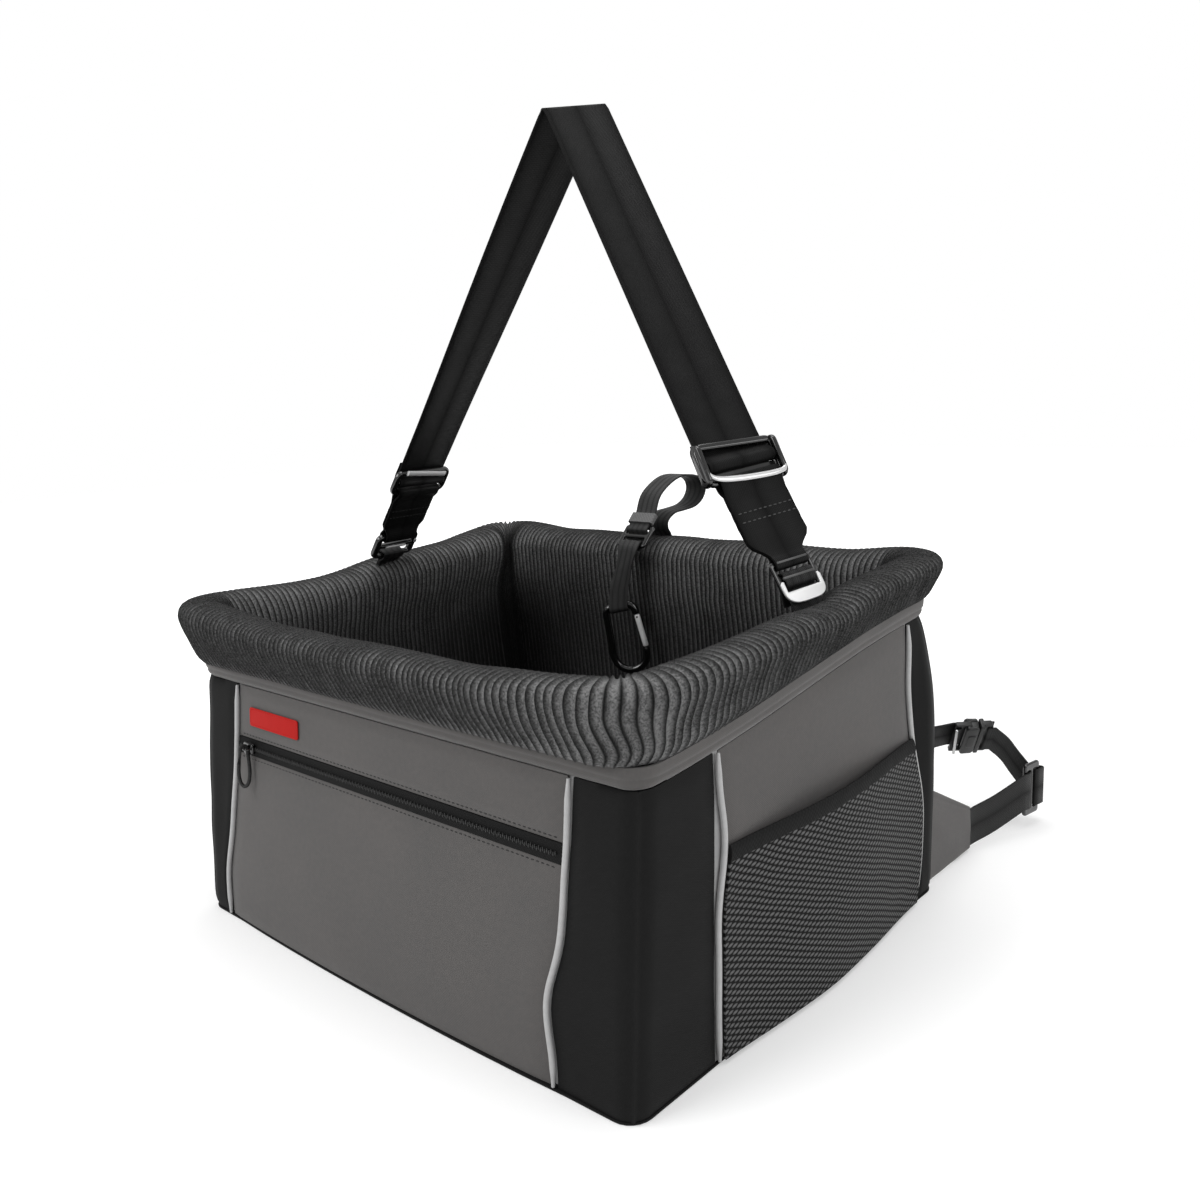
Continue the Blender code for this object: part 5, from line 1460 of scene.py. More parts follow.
def makeLock():
    place = legs["right"]
    one = lock["low"] + lock["tongue"]
    two = one + lock["slot"] + lock["bar"]
    high = two + lock["slot"] + lock["bar"]
    inside = anchor["width"] / 2 + adjusters["loose"]
    upper = stubs["rightNarrow"] / 2 + adjusters["loose"]
    half = upper + lock["side"]
    body = roundedOutline(-half, one - 1.5 * mm, half, high, 3 * mm)
    slots = [roundedOutline(-inside, one, inside, one + lock["slot"], 1.2 * mm, 3),
             roundedOutline(-upper, two, upper, two + lock["slot"], 1.2 * mm, 3)]
    plate("lockBody", [body, *slots], lock["bodyThickness"], 0.7 * mm,
          place @ Matrix.Translation((0, 0, -0.2 * mm)), glossBlack, body="ladder_lock", nodes=("ladder_lock",),
          slot="black_plastic")
    sweep = []
    for step in range(25):
        angle = math.radians(between(180, 360, step / 24))
        across = math.copysign(abs(math.cos(angle)) ** 0.55, math.cos(angle))
        sweep.append((half * 0.99 * across, one - 1 * mm + (lock["tongue"] - 1 * mm) * math.sin(angle) * 0.95))
    arm = [(half * 0.99, one + 5 * mm), (half * 0.9, one + 6.5 * mm), (inside + 0.6 * mm, one + 6.2 * mm),
           (inside + 0.6 * mm, one - 0.3 * mm)]
    sweep += arm + [(-across, along) for across, along in reversed(arm)]

    def dish(spot):
        return Vector((spot.x, spot.y, spot.z + lock["dish"] * ((one - spot.y) / lock["tongue"]) ** 2))

    plate("lockTongue", [sweep], lock["tongueThickness"], 0.7 * mm,
          place @ Matrix.Translation((0, 0, lock["tongueFace"])), satinMetal, shape=dish, body="ladder_lock",
          slot="bright_steel")
    # Grey rods raised over the lock's bars: a painted highlight
    for number, height in enumerate((one + lock["slot"] + lock["bar"] / 2, two + lock["slot"] + 2 * mm)):
        points = placed(place, [(x, height, lock["barFace"]) for x in (-11 * mm, 0, 11 * mm)])
        roundRod(f"lockBar{number + 1}", points, lock["barRadius"], lockBarHighlight, body="ladder_lock",
                 slot="black_plastic")
    out = lock["thickness"] / 2 + clearance + anchor["thickness"] / 2 + clearance
    near = lock["low"] + lock["slot"] / 2
    middleOne = one + lock["slot"] / 2 - clearance
    middleTwo = two + lock["slot"] / 4 + clearance
    dip = clearance * 3
    path = [(-anchor["sink"], -out / 2), (0, -out / 2), (lock["low"] / 2, -out * 0.8), (near, -out), (one, -out),
            (middleOne - dip, -out * 0.8), (middleOne, 0), (middleOne + dip, out * 0.8),
            (one + lock["slot"] + clearance, out), (two - clearance, out), (middleTwo - dip, out * 0.8),
            (middleTwo, 0), (middleTwo + clearance, -out), (middleTwo - clearance, -out * 2.0),
            (one + lock["slot"], -out * 2.6), (one, -out * 3.2), (near, -out * 4.2)]
    anchorWebbing("right", path, 8 * mm)


makeLock()

# Buckle on the left leg
buckle = {"low": 6 * mm, "side": 5 * mm, "bar": 3.5 * mm, "slot": 5.5 * mm, "middle": 3.5 * mm, "thickness": 5 * mm}


def makeAnchorBuckle():
    place = legs["left"]
    one = buckle["low"] + buckle["bar"]
    two = one + buckle["slot"] + buckle["middle"]
    high = two + buckle["slot"] + buckle["bar"]
    inside = stubs["leftNarrow"] / 2 + adjusters["loose"]
    framePlate("anchorBuckle", buckle["low"], high, inside + buckle["side"], buckle["thickness"], 5 * mm,
               [(one, one + buckle["slot"], inside), (two, two + buckle["slot"], inside)], place, glossBlack,
               1.6 * mm, body="head_strap", nodes=("anchor_buckle",), slot="black_plastic")
    # A bright rod on the buckle's middle bar: a painted highlight
    face = -buckle["thickness"] / 2 - 0.4 * mm
    bar = placed(place, [(x * mm, two - 1.6 * mm, face) for x in (-9, 0, 12)])
    roundRod("anchorBuckleHighlightRod", bar, 1.0 * mm, brightMetal, body="head_strap", slot="bright_steel")
    # A short bright rod on the buckle's side, drawn as a small bright dot
    dot = placed(place, [(-20 * mm, y * mm, face) for y in (18.5, 20.5)])
    roundRod("anchorBuckleBrightDot", dot, 1.2 * mm, brightMetal, body="head_strap", slot="bright_steel")
    middle = buckle["low"] + buckle["bar"] / 2
    near = (anchor["thickness"] + clearance) / 2
    off = anchor["thickness"] / 2 + clearance
    neck = buckle["low"] - buckle["thickness"] / 2 - off
    turn = barTurn(middle, buckle["bar"] / 2, buckle["thickness"] / 2, off, 1)
    rise = [(-anchor["sink"], near), (0, near), (neck, near)]
    anchorWebbing("left", [*rise, *turn, *[(along, -out) for along, out in reversed(rise)]], 9 * mm)


makeAnchorBuckle()
print("strap hardware ready")

# Tether inside the box
tether = {
    "place": -30 * mm,
    "width": 20 * mm,
    "thickness": 1.3 * mm,
    "side": 3.5 * mm,
    "bar": 3.2 * mm,
    "slot": 5.4 * mm,
    "plate": 2.6 * mm,
    "inset": 39.5 * mm,
    "rise": 5 * mm,
    "tilt": math.radians(45),
    "wall": 1.4 * mm,
    "keeper": 9 * mm,
    "gather": 0.24,
    "slack": ((-8, 4), (-11, 8.5), (-10, 14.5), (-1, 19.5), (12, 20.5), (26, 22), (36, 27), (40.5, 35), (36.5, 43),
              (23, 47.5), (6, 47.5), (-9, 42), (-20, 34)),
}
hook = {
    "drop": 56 * mm,
    "lean": -12 * mm,
    "forward": 10 * mm,
    "turn": math.radians(30),
    "tilt": math.radians(11),
    "length": 52 * mm,
    "top": 11 * mm,
    "eye": 7.5 * mm,
    "low": 14 * mm,
    "radius": 3 * mm,
    "gateRadius": 2.2 * mm,
    "gateTop": 8.5 * mm,
    "gateLow": 36 * mm,
    "gateRoom": 0.5 * mm,
}


def tetherFrame():
    up = Vector((0, math.sin(tether["tilt"]), math.cos(tether["tilt"])))
    rim = box["backSeam"] + box["bandHeight"] + box["backRoll"]
    return frameOf((tether["place"], box["halfDepth"] - tether["inset"], rim + tether["rise"]), (1, 0, 0), up)


def hookFrame():
    origin = tetherFrame().translation + Vector((hook["lean"], -hook["forward"], -hook["drop"]))
    turn = Matrix.Rotation(hook["turn"], 4, "Z")
    return Matrix.Translation(origin) @ turn @ Matrix.Rotation(-hook["tilt"], 4, "Y")


def makeTether():
    place = tetherFrame()
    inside = tether["width"] / 2 + adjusters["loose"]
    halfBar = tether["bar"] / 2
    reach = halfBar + tether["slot"] + tether["bar"]
    framePlate("tetherSlider", -reach, reach, inside + tether["side"], tether["plate"], 2.4 * mm,
               [(-halfBar - tether["slot"], -halfBar, inside), (halfBar, halfBar + tether["slot"], inside)], place,
               glossBlack, 1.1 * mm, nodes=("tether_slider",), slot="black_plastic")
    lift = tether["thickness"] / 2 + clearance
    out = tether["plate"] / 2 + lift
    edge = Vector((tether["width"] / 2, 0, 0))
    station = ((1, 1), (-1, 1), math.pi / 2, 0.5)
    skin = [rollPoint(station, *share) for share in rollShares[3:8]]
    over = []
    for point, way in zip(skin, directions(skin)):
        over.append(Vector((tether["place"], point.y, point.z)) + Vector((0, way.z, -way.y)) * lift * 1.3)
    rim = place.translation.z - tether["rise"]
    slack = [Vector((tether["place"], box["halfDepth"] + back * mm, rim + high * mm))
             for back, high in tether["slack"]]
    keeperLow = reach + clearance * 3
    keeperHigh = keeperLow + tether["keeper"]
    keeperEnd = place @ Vector((0, keeperHigh + tether["wall"], out))
    points = smoothPath([*over, *slack, keeperEnd], 4)
    window = halfBar + tether["slot"] / 2
    weave = [(keeperLow - tether["wall"] / 2, out), (reach - halfBar, out), (window + lift, out), (window, 0),
             (window - lift, -out), (-halfBar, -out)]
    points += smoothPath(placed(place, [(0, *spot) for spot in weave]), 3)
    webbing("tetherWebbing", points, [edge] * len(points), tether["thickness"], tetherLook,
            nodes=("tether_webbing",), slot="black_webbing")
    wall = tether["wall"]
    wide = inside + wall / 2
    ring = roundedOutline(-wide, out - lift - wall / 2, wide, out + lift + wall / 2, 0.9 * mm, 4)
    middle = (keeperLow + keeperHigh) / 2
    spots = placed(place, [(x, middle, z) for x, z in ring])
    along = place.to_3x3() @ Vector((0, tether["keeper"] / 2, 0))
    webbing("tetherKeeper", spots, [along] * len(spots), wall, keeperLook, looped=True, body="tether_keeper",
            nodes=("tether_keeper",), slot="black_webbing")

    eye = hookFrame()
    eyeEdge = (eye.to_3x3() @ Vector((1, 0, 0))) * hook["eye"]
    lowBar = halfBar + tether["slot"] + halfBar
    turn = barTurn(-lowBar, halfBar, tether["plate"] / 2, lift, 1)
    drop = [(-reach - halfBar, -out), *reversed(turn), (-reach - halfBar, out * 0.9)]
    drop = [(place @ Vector((0, *spot)), edge) for spot in drop]
    last = drop[-1][0]
    roundBar = hook["radius"] + lift
    firstEye = eye @ Vector((0, -roundBar, roundBar * 1.6))
    for share in (0.1, 0.2, 0.35, 0.5, 0.65, 0.8):
        gathered = 1 - tether["gather"] * math.exp(-((share - 0.3) / 0.2) ** 2)
        drop.append((last.lerp(firstEye, share), edge.lerp(eyeEdge, ease(share)) * gathered))
    for step in range(12):
        angle = between(math.radians(10), math.radians(-235), step / 11)
        spot = Vector((0, -roundBar * math.cos(angle), roundBar * math.sin(angle)))
        drop.append((eye @ spot, eyeEdge))
    webbing("tetherDrop", [spot for spot, half in drop], [half for spot, half in drop], tether["thickness"],
            tetherLook, body="tether_drop", nodes=("tether_drop",), slot="black_webbing")


keeperLook = wovenLook("keeperElastic", grey(84), grey(122), 1.4 * mm, 0.75, depth=0.3 * mm)
makeTether()


def makeHook():
    place = hookFrame()
    top = hook["top"]
    low = hook["low"]
    long_ = hook["length"]
    hinge = Vector((top + hook["radius"] / 2, 0, -hook["gateTop"]))
    nose = Vector((low, 0, -hook["gateLow"]))
    way = (nose - hinge).normalized()
    path = [hinge - way * hook["gateRoom"], (top * 1.04, 0, -top * 0.3), (top * 0.8, 0, 0), (top * 0.5, 0, 0),
            (-top * 0.5, 0, 0), (-top * 0.8, 0, 0), (-top * 1.04, 0, -top * 0.3), (-top * 1.1, 0, -top * 0.9),
            (-low * 0.95, 0, -long_ * 0.55), (-low, 0, -long_ * 0.72), (-low * 0.8, 0, -long_ * 0.9),
            (-low * 0.3, 0, -long_), (low * 0.3, 0, -long_), (low * 0.82, 0, -long_ * 0.9),
            nose + way * hook["gateRoom"]]
    points = [place @ spot for spot in smoothPath(path, 6)]
    across = place.to_3x3() @ Vector((0, 1, 0))
    radii = [hook["radius"]] * len(points)
    radii[0] = radii[-1] = hook["radius"] * 0.82
    tube("carabinerBody", points, radii, glossBlack, segments=20, up=across, body="carabiner",
         nodes=("carabiner_body",), slot="black_enamel")
    gate = [place @ hinge.lerp(nose, share) for share in (0.05, 0.3, 0.7, 0.95)]
    roundRod("carabinerGate", gate, hook["gateRadius"], gateMetal, segments=20, body="carabiner_gate",
             nodes=("carabiner_gate",), slot="bright_steel")
    pin = [place @ (hinge + way * 2.2 * mm + Vector((0, y * mm, 0))) for y in (-2.4, 2.4)]
    roundRod("carabinerPin", pin, 0.8 * mm, glossBlack, body="carabiner_gate", slot="black_enamel")


makeHook()
print("tether ready")

# Belt behind the box
belt = {
    "width": 30 * mm,
    "thickness": 1.5 * mm,
    "wingOut": 199 * mm,
    "wingThickness": 3 * mm,
    "wingLap": 24 * mm,
    "wingLow": 2 * mm,
    "wingReach": 67.5 * mm,
    "wingRoot": 76 * mm,
    "wingTip": 36 * mm,
    "low": 1 * mm,
    "glideBar": 3.5 * mm,
    "glideMiddle": 3 * mm,
    "glideSlot": 5 * mm,
    "glideThickness": 3 * mm,
    "glideSide": 6 * mm,
    "glideBack": 311 * mm,
    "glideOut": 217 * mm,
    "glideHeight": 31 * mm,
    "glideTurn": math.radians(80),
    "turnPlaces": ((5.5, 0.5), (5, 4.5), (2.5, 8)),
    "buckle": Vector((166, 281.5, 72.5)) * mm,
    "turn": math.radians(40),
    "tilt": math.radians(38),
    "socketLeft": 6.75 * mm,
    "socketLength": 10 * mm,
    "socketThickness": 10 * mm,
    "window": 5 * mm,
    "seam": 2.4 * mm,
    "cheek": 2.6 * mm,
    "plugBar": 3.5 * mm,
    "plugThickness": 5.4 * mm,
    "collarThickness": 9.4 * mm,
    "barHalf": 1.9 * mm,
    "edge": 2.6 * mm,
    "sewn": 1 * mm,
    "shoulder": 3 * mm,
    "prong": 7 * mm,
    "runBend": ((206.5, 322, 38), (201, 317, 48), (195.5, 310, 60)),
    "leftBend": ((148, 268, 71), (125, 253, 67), (80, 241, 59), (0, 235, 48), (-80, 236, 38), (-150, 246, 28),
                 (-184, 254, 20)),
}
wingBack = box["halfDepth"] + belt["wingReach"]
buckleFrame = Matrix.Translation(belt["buckle"]) @ Matrix.Rotation(belt["turn"], 4, "Z")
buckleFrame = buckleFrame @ Matrix.Rotation(belt["tilt"], 4, "X")


def makeWing(side):
    sign = 1 if side == "right" else -1
    innerFace = belt["wingOut"] - belt["wingThickness"] / 2

    def root(height):
        beside = innerFace - (halfWidth(height) - box["corner"])
        return halfDepth(height) - box["corner"] + math.sqrt(box["corner"] ** 2 - beside ** 2) + clearance

    def place(across, up, skin):
        tip = between(belt["wingLow"], belt["wingTip"], up)
        start = between(belt["wingLow"], belt["wingRoot"], up)
        height = between(start, tip, across)
        back = between(root(start), wingBack, across)
        hem = 0.5 * mm * math.exp(-((up - 0.93) / 0.02) ** 2)
        edge = 0.9 * mm * (1 - math.sqrt(max(0, 1 - (2 * up - 1) ** 12)))
        puff = 0.6 * mm * noise.noise(Vector((across * 3, up * 3, sign)))
        half = belt["wingThickness"] / 2 - hem - edge
        return Vector((sign * (belt["wingOut"] + (1 - 2 * skin) * half) + puff, back, height))

    slab(f"beltWing{side.title()}", place, 28, 40, greyCloth, (0.075, 0.06), nodes=(f"belt_wing_{side}",),
         slot="grey_cloth")


def makeBelt():
    for side in ("right", "left"):
        makeWing(side)
    along = Vector((math.cos(belt["glideTurn"]), math.sin(belt["glideTurn"]), 0))
    place = frameOf((belt["glideOut"], belt["glideBack"], belt["glideHeight"]), (0, 0, 1), along)
    inside = belt["width"] / 2 + adjusters["loose"]
    window = belt["glideMiddle"] / 2 + belt["glideSlot"] / 2
    reach = belt["glideMiddle"] / 2 + belt["glideSlot"] + belt["glideBar"]
    slots = [(sign * window - belt["glideSlot"] / 2, sign * window + belt["glideSlot"] / 2, inside) for sign in (-1, 1)]
    framePlate("beltGlide", -reach, reach, inside + belt["glideSide"], belt["glideThickness"], 3 * mm, slots, place,
               glossBlack, 1.2 * mm, nodes=("belt_glide",), slot="black_plastic")

    half = belt["width"] / 2
    lowMiddle = belt["low"] + half
    edge = Vector((0, 0, half))
    wingFace = belt["wingOut"] - belt["wingThickness"] / 2 - clearance - belt["thickness"] / 2
    lift = clearance + belt["thickness"] / 2
    out = belt["glideThickness"] / 2 + lift
    weave = [(window - lift, out), (window, 0), (window + lift, -out), (reach + belt["glideBar"], -out)]
    weave = placed(place, [(0, -along, side) for along, side in reversed(weave)] + [(0, *spot) for spot in weave])
    wingEnd = [(wingFace, wingBack - belt["wingLap"], lowMiddle), (wingFace, wingBack, lowMiddle),
               (wingFace + belt["thickness"], wingBack + belt["wingLap"] / 2, lowMiddle + belt["low"]),
               (wingFace + belt["thickness"] * 6, wingBack + belt["wingLap"] * 1.4, lowMiddle + belt["low"] * 5)]
    plugEnd = belt["socketLeft"] + belt["socketLength"] + clearance + belt["shoulder"]
    plugEnd += belt["window"] + belt["plugBar"]
    meet = plugTurn(plugEnd - belt["plugBar"] / 2, 1)[::-1]
    tilted = buckleFrame.to_3x3() @ edge
    turn = placed(place, [(0, reach + spot * mm, side * mm) for spot, side in belt["turnPlaces"]])
    bend = [weave[-1], *turn, *[Vector(spot) * mm for spot in belt["runBend"]], meet[0]]
    straight = smoothPath([*wingEnd, weave[0]], 5)[:-1] + smoothPath(weave, 3)[:-1]
    bent = smoothPath(bend, 5)
    edges = [edge] * len(straight) + [edge.lerp(tilted, ease(index / (len(bent) - 1))) for index in range(len(bent))]
    edges += [tilted] * (len(meet) - 1)
    made = webbing("beltWebbingRight", straight + bent + meet[1:], edges, belt["thickness"], beltLook, body=None,
                   nodes=("belt_webbing_right",), slot="black_webbing")
    tuple(bend[1])
    tuple(bend[-2])
    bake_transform(made)

    meet = plugTurn(belt["socketLeft"] - belt["window"] - belt["plugBar"] / 2, -1)
    route = [meet[0], *[Vector(spot) * mm for spot in belt["leftBend"]],
             *[(-wingFace, wingBack + lap * belt["wingLap"], lowMiddle) for lap in (0.5, 0, -1)]]
    bent = smoothPath(route, 8)
    edges = [tilted] * (len(meet) - 1)
    edges += [tilted.lerp(edge, ease(2 * index / (len(bent) - 1))) for index in range(len(bent))]
    webbing("beltWebbingLeft", meet[:0:-1] + bent, edges, belt["thickness"], beltLook, nodes=("belt_webbing_left",),
            slot="black_webbing")


def plugTurn(middle, sign):
    off = clearance + belt["thickness"] / 2
    spots = barTurn(middle, belt["plugBar"] / 2, belt["barHalf"], off, -sign)
    beyond = middle + sign * (belt["plugBar"] / 2 + belt["sewn"])
    out = belt["barHalf"] + off
    spots = [(beyond, out), *spots, (beyond, -out)]
    return placed(buckleFrame, [(*spot, 0) for spot in spots])


beltLook = webbingLook("beltWebbing", grey(10), grey(30), 1.4 * mm, 19 * mm, roughness=0.55)
makeBelt()


def makeReleaseBuckle():
    half = belt["width"] / 2 + adjusters["loose"]
    outer = half + belt["edge"]
    thick = belt["socketThickness"] / 2
    left = belt["socketLeft"]
    right = left + belt["socketLength"]
    low = left - belt["window"] - belt["plugBar"]
    middle = buckleFrame @ facing

    def waist(spot):
        share = (spot.x - left) / (right - left)
        narrow = 1 - 0.07 * math.exp(-((share - 0.45) / 0.22) ** 2)
        return Vector((spot.x, spot.y * narrow, spot.z + math.copysign(0.6 * mm, spot.z) * (1 - share * share)))

    def part(name, corners, corner, thickness, rounding, frame, out, **rest):
        oblongPlate(name, corners, corner, thickness, rounding, frame @ Matrix.Translation((0, 0, out)), moulded,
                    slot="black_plastic", **rest)

    depth = thick - belt["seam"]
    for sign, word in ((1, "Front"), (-1, "Back")):
        part(f"socketShell{word}", (left - 1 * mm, -outer, right, outer), 3.4 * mm, depth, 1.1 * mm, middle,
             sign * (belt["seam"] + depth / 2), shape=waist, nodes=("belt_socket",) if sign > 0 else ())
        part(f"socketPad{word}", (left + 2 * mm, -half * 0.5, right - 2 * mm, half * 0.5), 2 * mm, 1.2 * mm, 0.5 * mm,
             middle, sign * (thick + 0.4 * mm))
        part(f"socketRail{word}", (low, -2.2 * mm, left + 4 * mm, 2.2 * mm), 1 * mm, belt["edge"], 0.7 * mm,
             buckleFrame, sign * (half + belt["edge"] / 2))
    for sign, word in ((1, "Upper"), (-1, "Lower")):
        part(f"socketCheek{word}", (right - 6 * mm, -belt["cheek"], right - 0.5 * mm, belt["cheek"]), 0.8 * mm,
             belt["cheek"], 0.6 * mm, buckleFrame, sign * (outer - belt["cheek"]))
    bar = placed(buckleFrame, [(low + belt["plugBar"] / 2, 0, z * mm) for z in (-17, 0, 17)])
    roundRod("socketBar", bar, 1.7 * mm, moulded, segments=16, slot="black_plastic")
    # A bright rod in front of the socket's black bar, standing in for its highlight line: a painted highlight
    face = -belt["barHalf"] - belt["thickness"] - 1.8 * mm
    bright = placed(buckleFrame, [(low + (1.5 - 0.1 * z) * mm, face, z * mm) for z in (-16, 0, 16)])
    roundRod("socketHighlightRod", bright, 1.1 * mm, brightMetal, segments=16, slot="bright_steel")

    start = right + clearance
    shoulder = start + belt["shoulder"]
    end = shoulder + belt["window"] + belt["plugBar"]
    outline = roundedOutline(start, -outer, end - 1 * mm, outer, 2.4 * mm)
    window = roundedOutline(shoulder, -half, shoulder + belt["window"], half, 1 * mm, 3)
    plate("plugBody", [outline, window], belt["plugThickness"], 0.9 * mm, middle, moulded, body="belt_plug",
          nodes=("belt_plug",), slot="black_plastic")
    part("plugCollar", (start, -outer, shoulder + 0.6 * mm, outer), 1.1 * mm, belt["collarThickness"], 0.8 * mm,
         middle, 0, body="belt_plug")
    prong = half - belt["cheek"]
    tip = start - belt["prong"]
    flank = [(start + 1 * mm, prong - 4 * mm), (start + 1 * mm, prong - 1 * mm), (tip + 0.8 * mm, prong - 1 * mm),
             (tip, prong - 2 * mm), (tip + 1 * mm, prong - 3.2 * mm)]
    for sign, word in ((1, "Upper"), (-1, "Lower")):
        arm = [(x, sign * y) for x, y in flank]
        plate(f"plugProng{word}", [arm if sign < 0 else arm[::-1]], 3 * mm, 0.5 * mm, middle, moulded,
              body="belt_plug", slot="black_plastic")


makeReleaseBuckle()
print("belt ready")

# Zip slider and its cord
slider = {"half": 6 * mm, "coil": 1.6 * mm, "wall": 2 * mm, "plate": 1.4 * mm, "rail": 0.9 * mm, "arch": 0.62 * mm,
          "archHole": 2.6 * mm, "archBar": 1.2 * mm, "archWidth": 1.8 * mm, "cord": 1.25 * mm, "length": 26 * mm,
          "spread": 3.6 * mm}


def makeSlider():
    place = frontFrame(zipPart["sliderPlace"], (zipSizes["low"] + zipSizes["high"]) / 2)
    channel = slider["coil"] + clearance
    outer = channel + slider["wall"]

    def taper(spot):
        return Vector((spot.x, spot.y * (1 - 0.16 * spot.x / slider["half"]), spot.z))

    oblongPlate("zipSliderPlate", (-slider["half"], -outer, slider["half"], outer), 2.4 * mm, slider["plate"], 0.5 * mm,
                place @ facing @ Matrix.Translation((0, 0, channel + slider["plate"] / 2)), glossBlack, shape=taper,
                body="zip_slider", nodes=("zip_slider",), slot="black_enamel")
    for sign, word in ((1, "Upper"), (-1, "Lower")):
        rail = placed(place, [(share * slider["half"], -channel * 0.7,
                               sign * (channel + slider["wall"] / 2) * (1 - 0.1 * share)) for share in (-0.7, 0, 0.7)])
        roundRod(f"zipSliderRail{word}", rail, slider["rail"], glossBlack, body="zip_slider", slot="black_enamel")
    base = -channel - slider["plate"]
    pivot = base - slider["archHole"] - slider["archBar"] / 2
    leg = [(-3.2 * mm, base + 0.6 * mm, 0), (-3.1 * mm, base - 1 * mm, 0), (-2.2 * mm, pivot + 0.4 * mm, 0)]
    arch = placed(place, [*leg, (0, pivot, 0), *[(-x, y, z) for x, y, z in reversed(leg)]])
    tube("zipSliderArch", smoothPath(arch, 3), slider["arch"], glossBlack, segments=10, body="zip_slider",
         slot="black_enamel")
    turn = slider["archBar"] / 2 + clearance + slider["cord"] + slider["archWidth"] / 4
    loop = []
    for step in range(7):
        angle = math.pi * step / 6
        loop.append((0, -turn * math.cos(angle), turn * math.sin(angle)))
    down = slider["length"]
    wide = slider["spread"]
    leg = [(wide * 0.5, turn, -down * 0.3), (wide, turn * 0.8, -down * 0.65), (wide * 0.75, turn * 0.5, -down * 0.9)]
    loop += [*leg, (0, 0, -down), *[(-x, -y, z) for x, y, z in reversed(leg)]]
    points = smoothLoop([place @ (Vector(spot) + Vector((0, pivot, 0))) for spot in loop], 4)
    tube("zipPullCord", points, slider["cord"], cordLook, looped=True, segments=10, body="zip_puller",
         nodes=("zip_puller",), slot="black_webbing")


def makeCordLook():
    look, tree, shader = newLook("blackCord", 0.6, specular=0.35)
    around, along = partsOf(tree, uvOf(tree))
    strands = [reckon("SINE", (around + along * slope) * 3600.0) for slope in (1.0, -1.0)]
    braid = reckon("MAXIMUM", *strands) * 0.5 + 0.5
    connect(tree, shader, mixColour(tree, braid, grey(10), grey(36)), braid, 0.25 * mm)
    return look


cordLook = makeCordLook()
makeSlider()

# Foam boards and the pocket's lining, inside the walls
inner = {"corner": 20 * mm, "boardOuter": 1.8 * mm, "boardInner": 8.3 * mm, "lining": 1 * mm, "liningLow": 12 * mm}


def makeBoards():
    for side in ("front", "back", "left", "right"):
        outer = inner["boardOuter"] + (inner["lining"] + clearance if side == "front" else 0)
        across = side in ("front", "back")
        reach = (box["halfWidth"] if across else halfDepth(box["backSeam"])) - inner["corner"]

        def place(share, up, skin):
            along = between(-reach, reach, share)
            back = {"front": -1, "back": 1}[side] * halfDepth(box["frontSeam"]) if across else along
            height = between(box["wallLow"], seamHeight(back) + box["bandHeight"] - clearance, up)
            return wallPoint(side, along, height, between(outer, inner["boardInner"], skin))

        slab(f"{side}Board", place, 12, 8, foamLook, (2 * reach, 0.19), nodes=(f"{side}_board",), slot="foam_board")
    thick = box["floorTop"] - box["wallLow"]
    halfX = box["halfWidth"] - inner["boardInner"] - clearance
    halfY = box["halfDepth"] - inner["boardInner"] - clearance - 0.5 * mm
    oblongPlate("baseBoard", (-halfX, -halfY, halfX, halfY), 6 * mm, thick, 0.4 * mm,
                Matrix.Translation((0, 0, box["wallLow"] + thick / 2)), foamLook, nodes=("base_board",),
                slot="foam_board")

    def placeLining(across, up, skin):
        height = between(inner["liningLow"], zipSizes["high"] - clearance, up)
        depth = inner["boardOuter"] + skin * inner["lining"]
        return wallPoint("front", betweenPipings("front", across, height), height, depth)

    slab("pocketLining", placeLining, 24, 10, liningCloth, (0.3, 0.12), nodes=("pocket_lining",), slot="black_cloth")


makeBoards()
print("inner boards ready")

# Floor and light
stage = {"half": 4.0, "floorColour": 0.8, "lift": (0.27, 0.7), "reach": (0.5, 1.3), "world": 0.62}


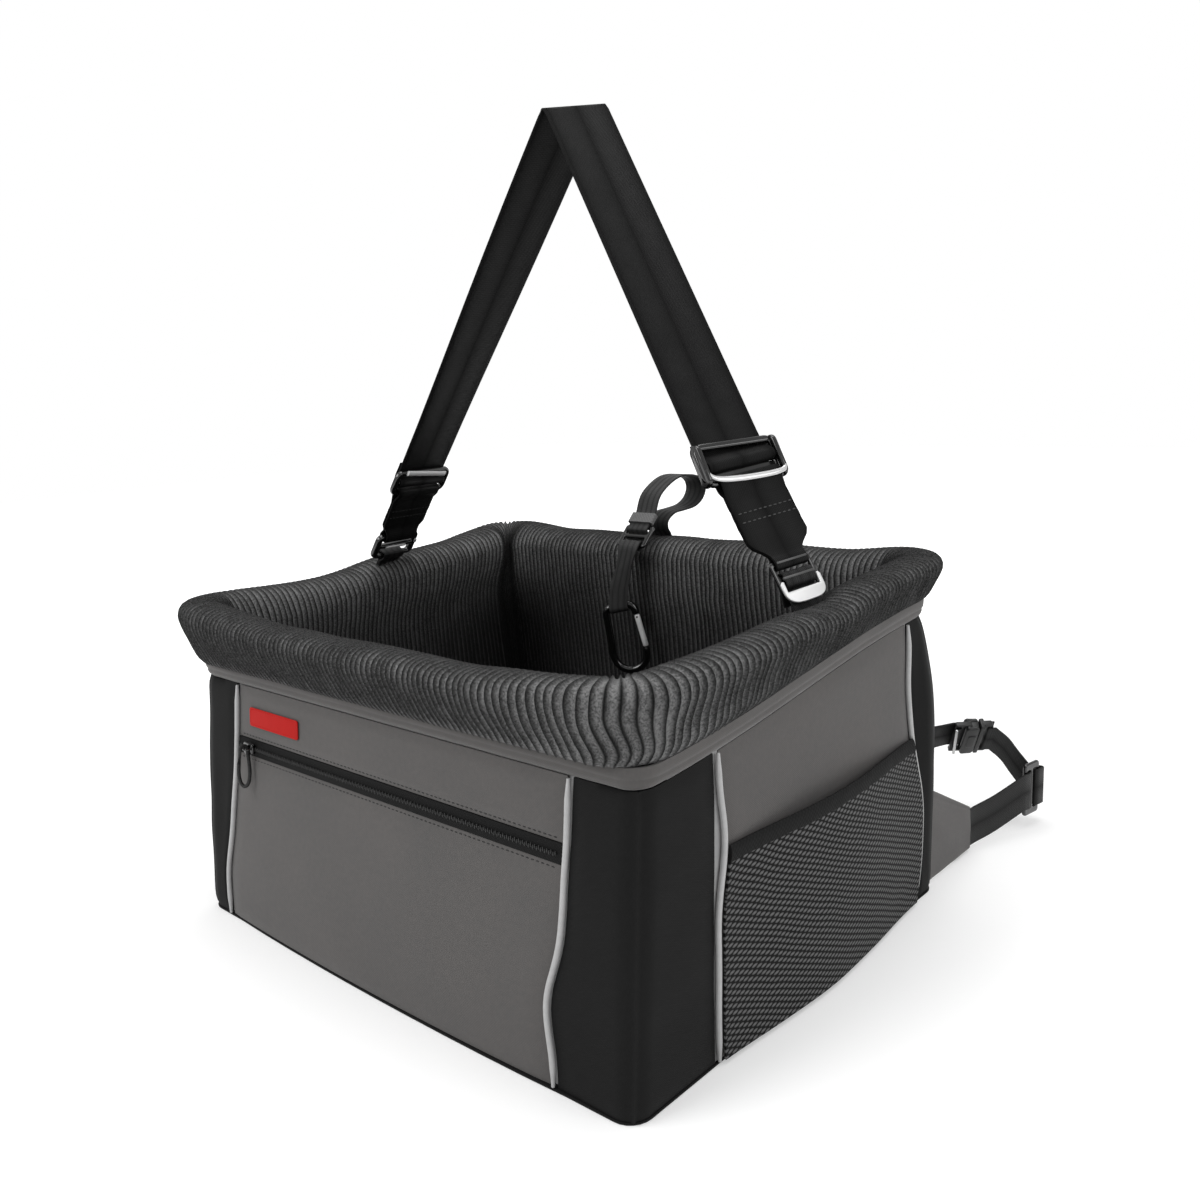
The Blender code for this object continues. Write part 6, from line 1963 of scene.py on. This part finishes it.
def makeFloor():
    mesh = bmesh.new()
    bmesh.ops.create_grid(mesh, x_segments=1, y_segments=1, size=stage["half"])
    data = meshData(mesh, "floor")
    floor = addObject("floor", data)
    floor.location.z = -0.2 * mm
    look = bpy.data.materials.new("paleFloor")
    look.use_nodes = True
    tree = look.node_tree
    tree.nodes.clear()
    rays = tree.nodes.new("ShaderNodeLightPath").outputs
    seen = (Value(rays["Is Camera Ray"]) + rays["Is Glossy Ray"]).clamped()
    distance = addNode(tree, "ShaderNodeVectorMath", {0: objectOf(tree)}, operation="LENGTH").outputs["Value"]
    far = addNode(tree, "ShaderNodeMapRange", {"Value": distance, 1: stage["reach"][0], 2: stage["reach"][1],
                                               3: stage["lift"][0], 4: stage["lift"][1]}).outputs[0]
    lift = addNode(tree, "ShaderNodeEmission", {"Color": (1, 1, 1, 1), "Strength": seen * far})
    white = (stage["floorColour"],) * 3 + (1,)
    matt = addNode(tree, "ShaderNodeBsdfDiffuse", {"Color": white})
    both = addNode(tree, "ShaderNodeAddShader", {0: lift.outputs[0], 1: matt.outputs[0]})
    addNode(tree, "ShaderNodeOutputMaterial", {"Surface": both.outputs[0]})
    data.materials.append(look)


def makeWorld():
    world = bpy.data.worlds.new("studio")
    world.use_nodes = True
    tree = world.node_tree
    background = tree.nodes["Background"]
    rays = tree.nodes.new("ShaderNodeLightPath").outputs
    strength = addNode(tree, "ShaderNodeMix", {0: rays["Is Camera Ray"], 2: stage["world"], 3: 1.0})
    tree.links.new(strength.outputs[0], background.inputs["Strength"])
    background.inputs["Color"].default_value = (1, 1, 1, 1)
    bpy.context.scene.world = world


def makeLamp(name, place, target, size, power):
    data = bpy.data.lights.new(name, "AREA")
    data.shape = "DISK"
    data.size = size
    data.energy = power
    lamp = addObject(name, data)
    way = Vector(target) - Vector(place)
    lamp.matrix_world = Matrix.Translation(place) @ way.to_track_quat("-Z", "Y").to_matrix().to_4x4()


makeFloor()
makeWorld()
makeLamp("keyLamp", (-0.7, -1.6, 1.7), (0, 0, 0.12), 1.3, 23)
makeLamp("sideLamp", (1.9, 0.2, 1.3), (0, 0, 0.12), 1.2, 11)
makeLamp("topLamp", (0, 0.3, 2.2), (0, 0, 0), 1.6, 18)
bpy.context.scene.view_settings.view_transform = "Standard"
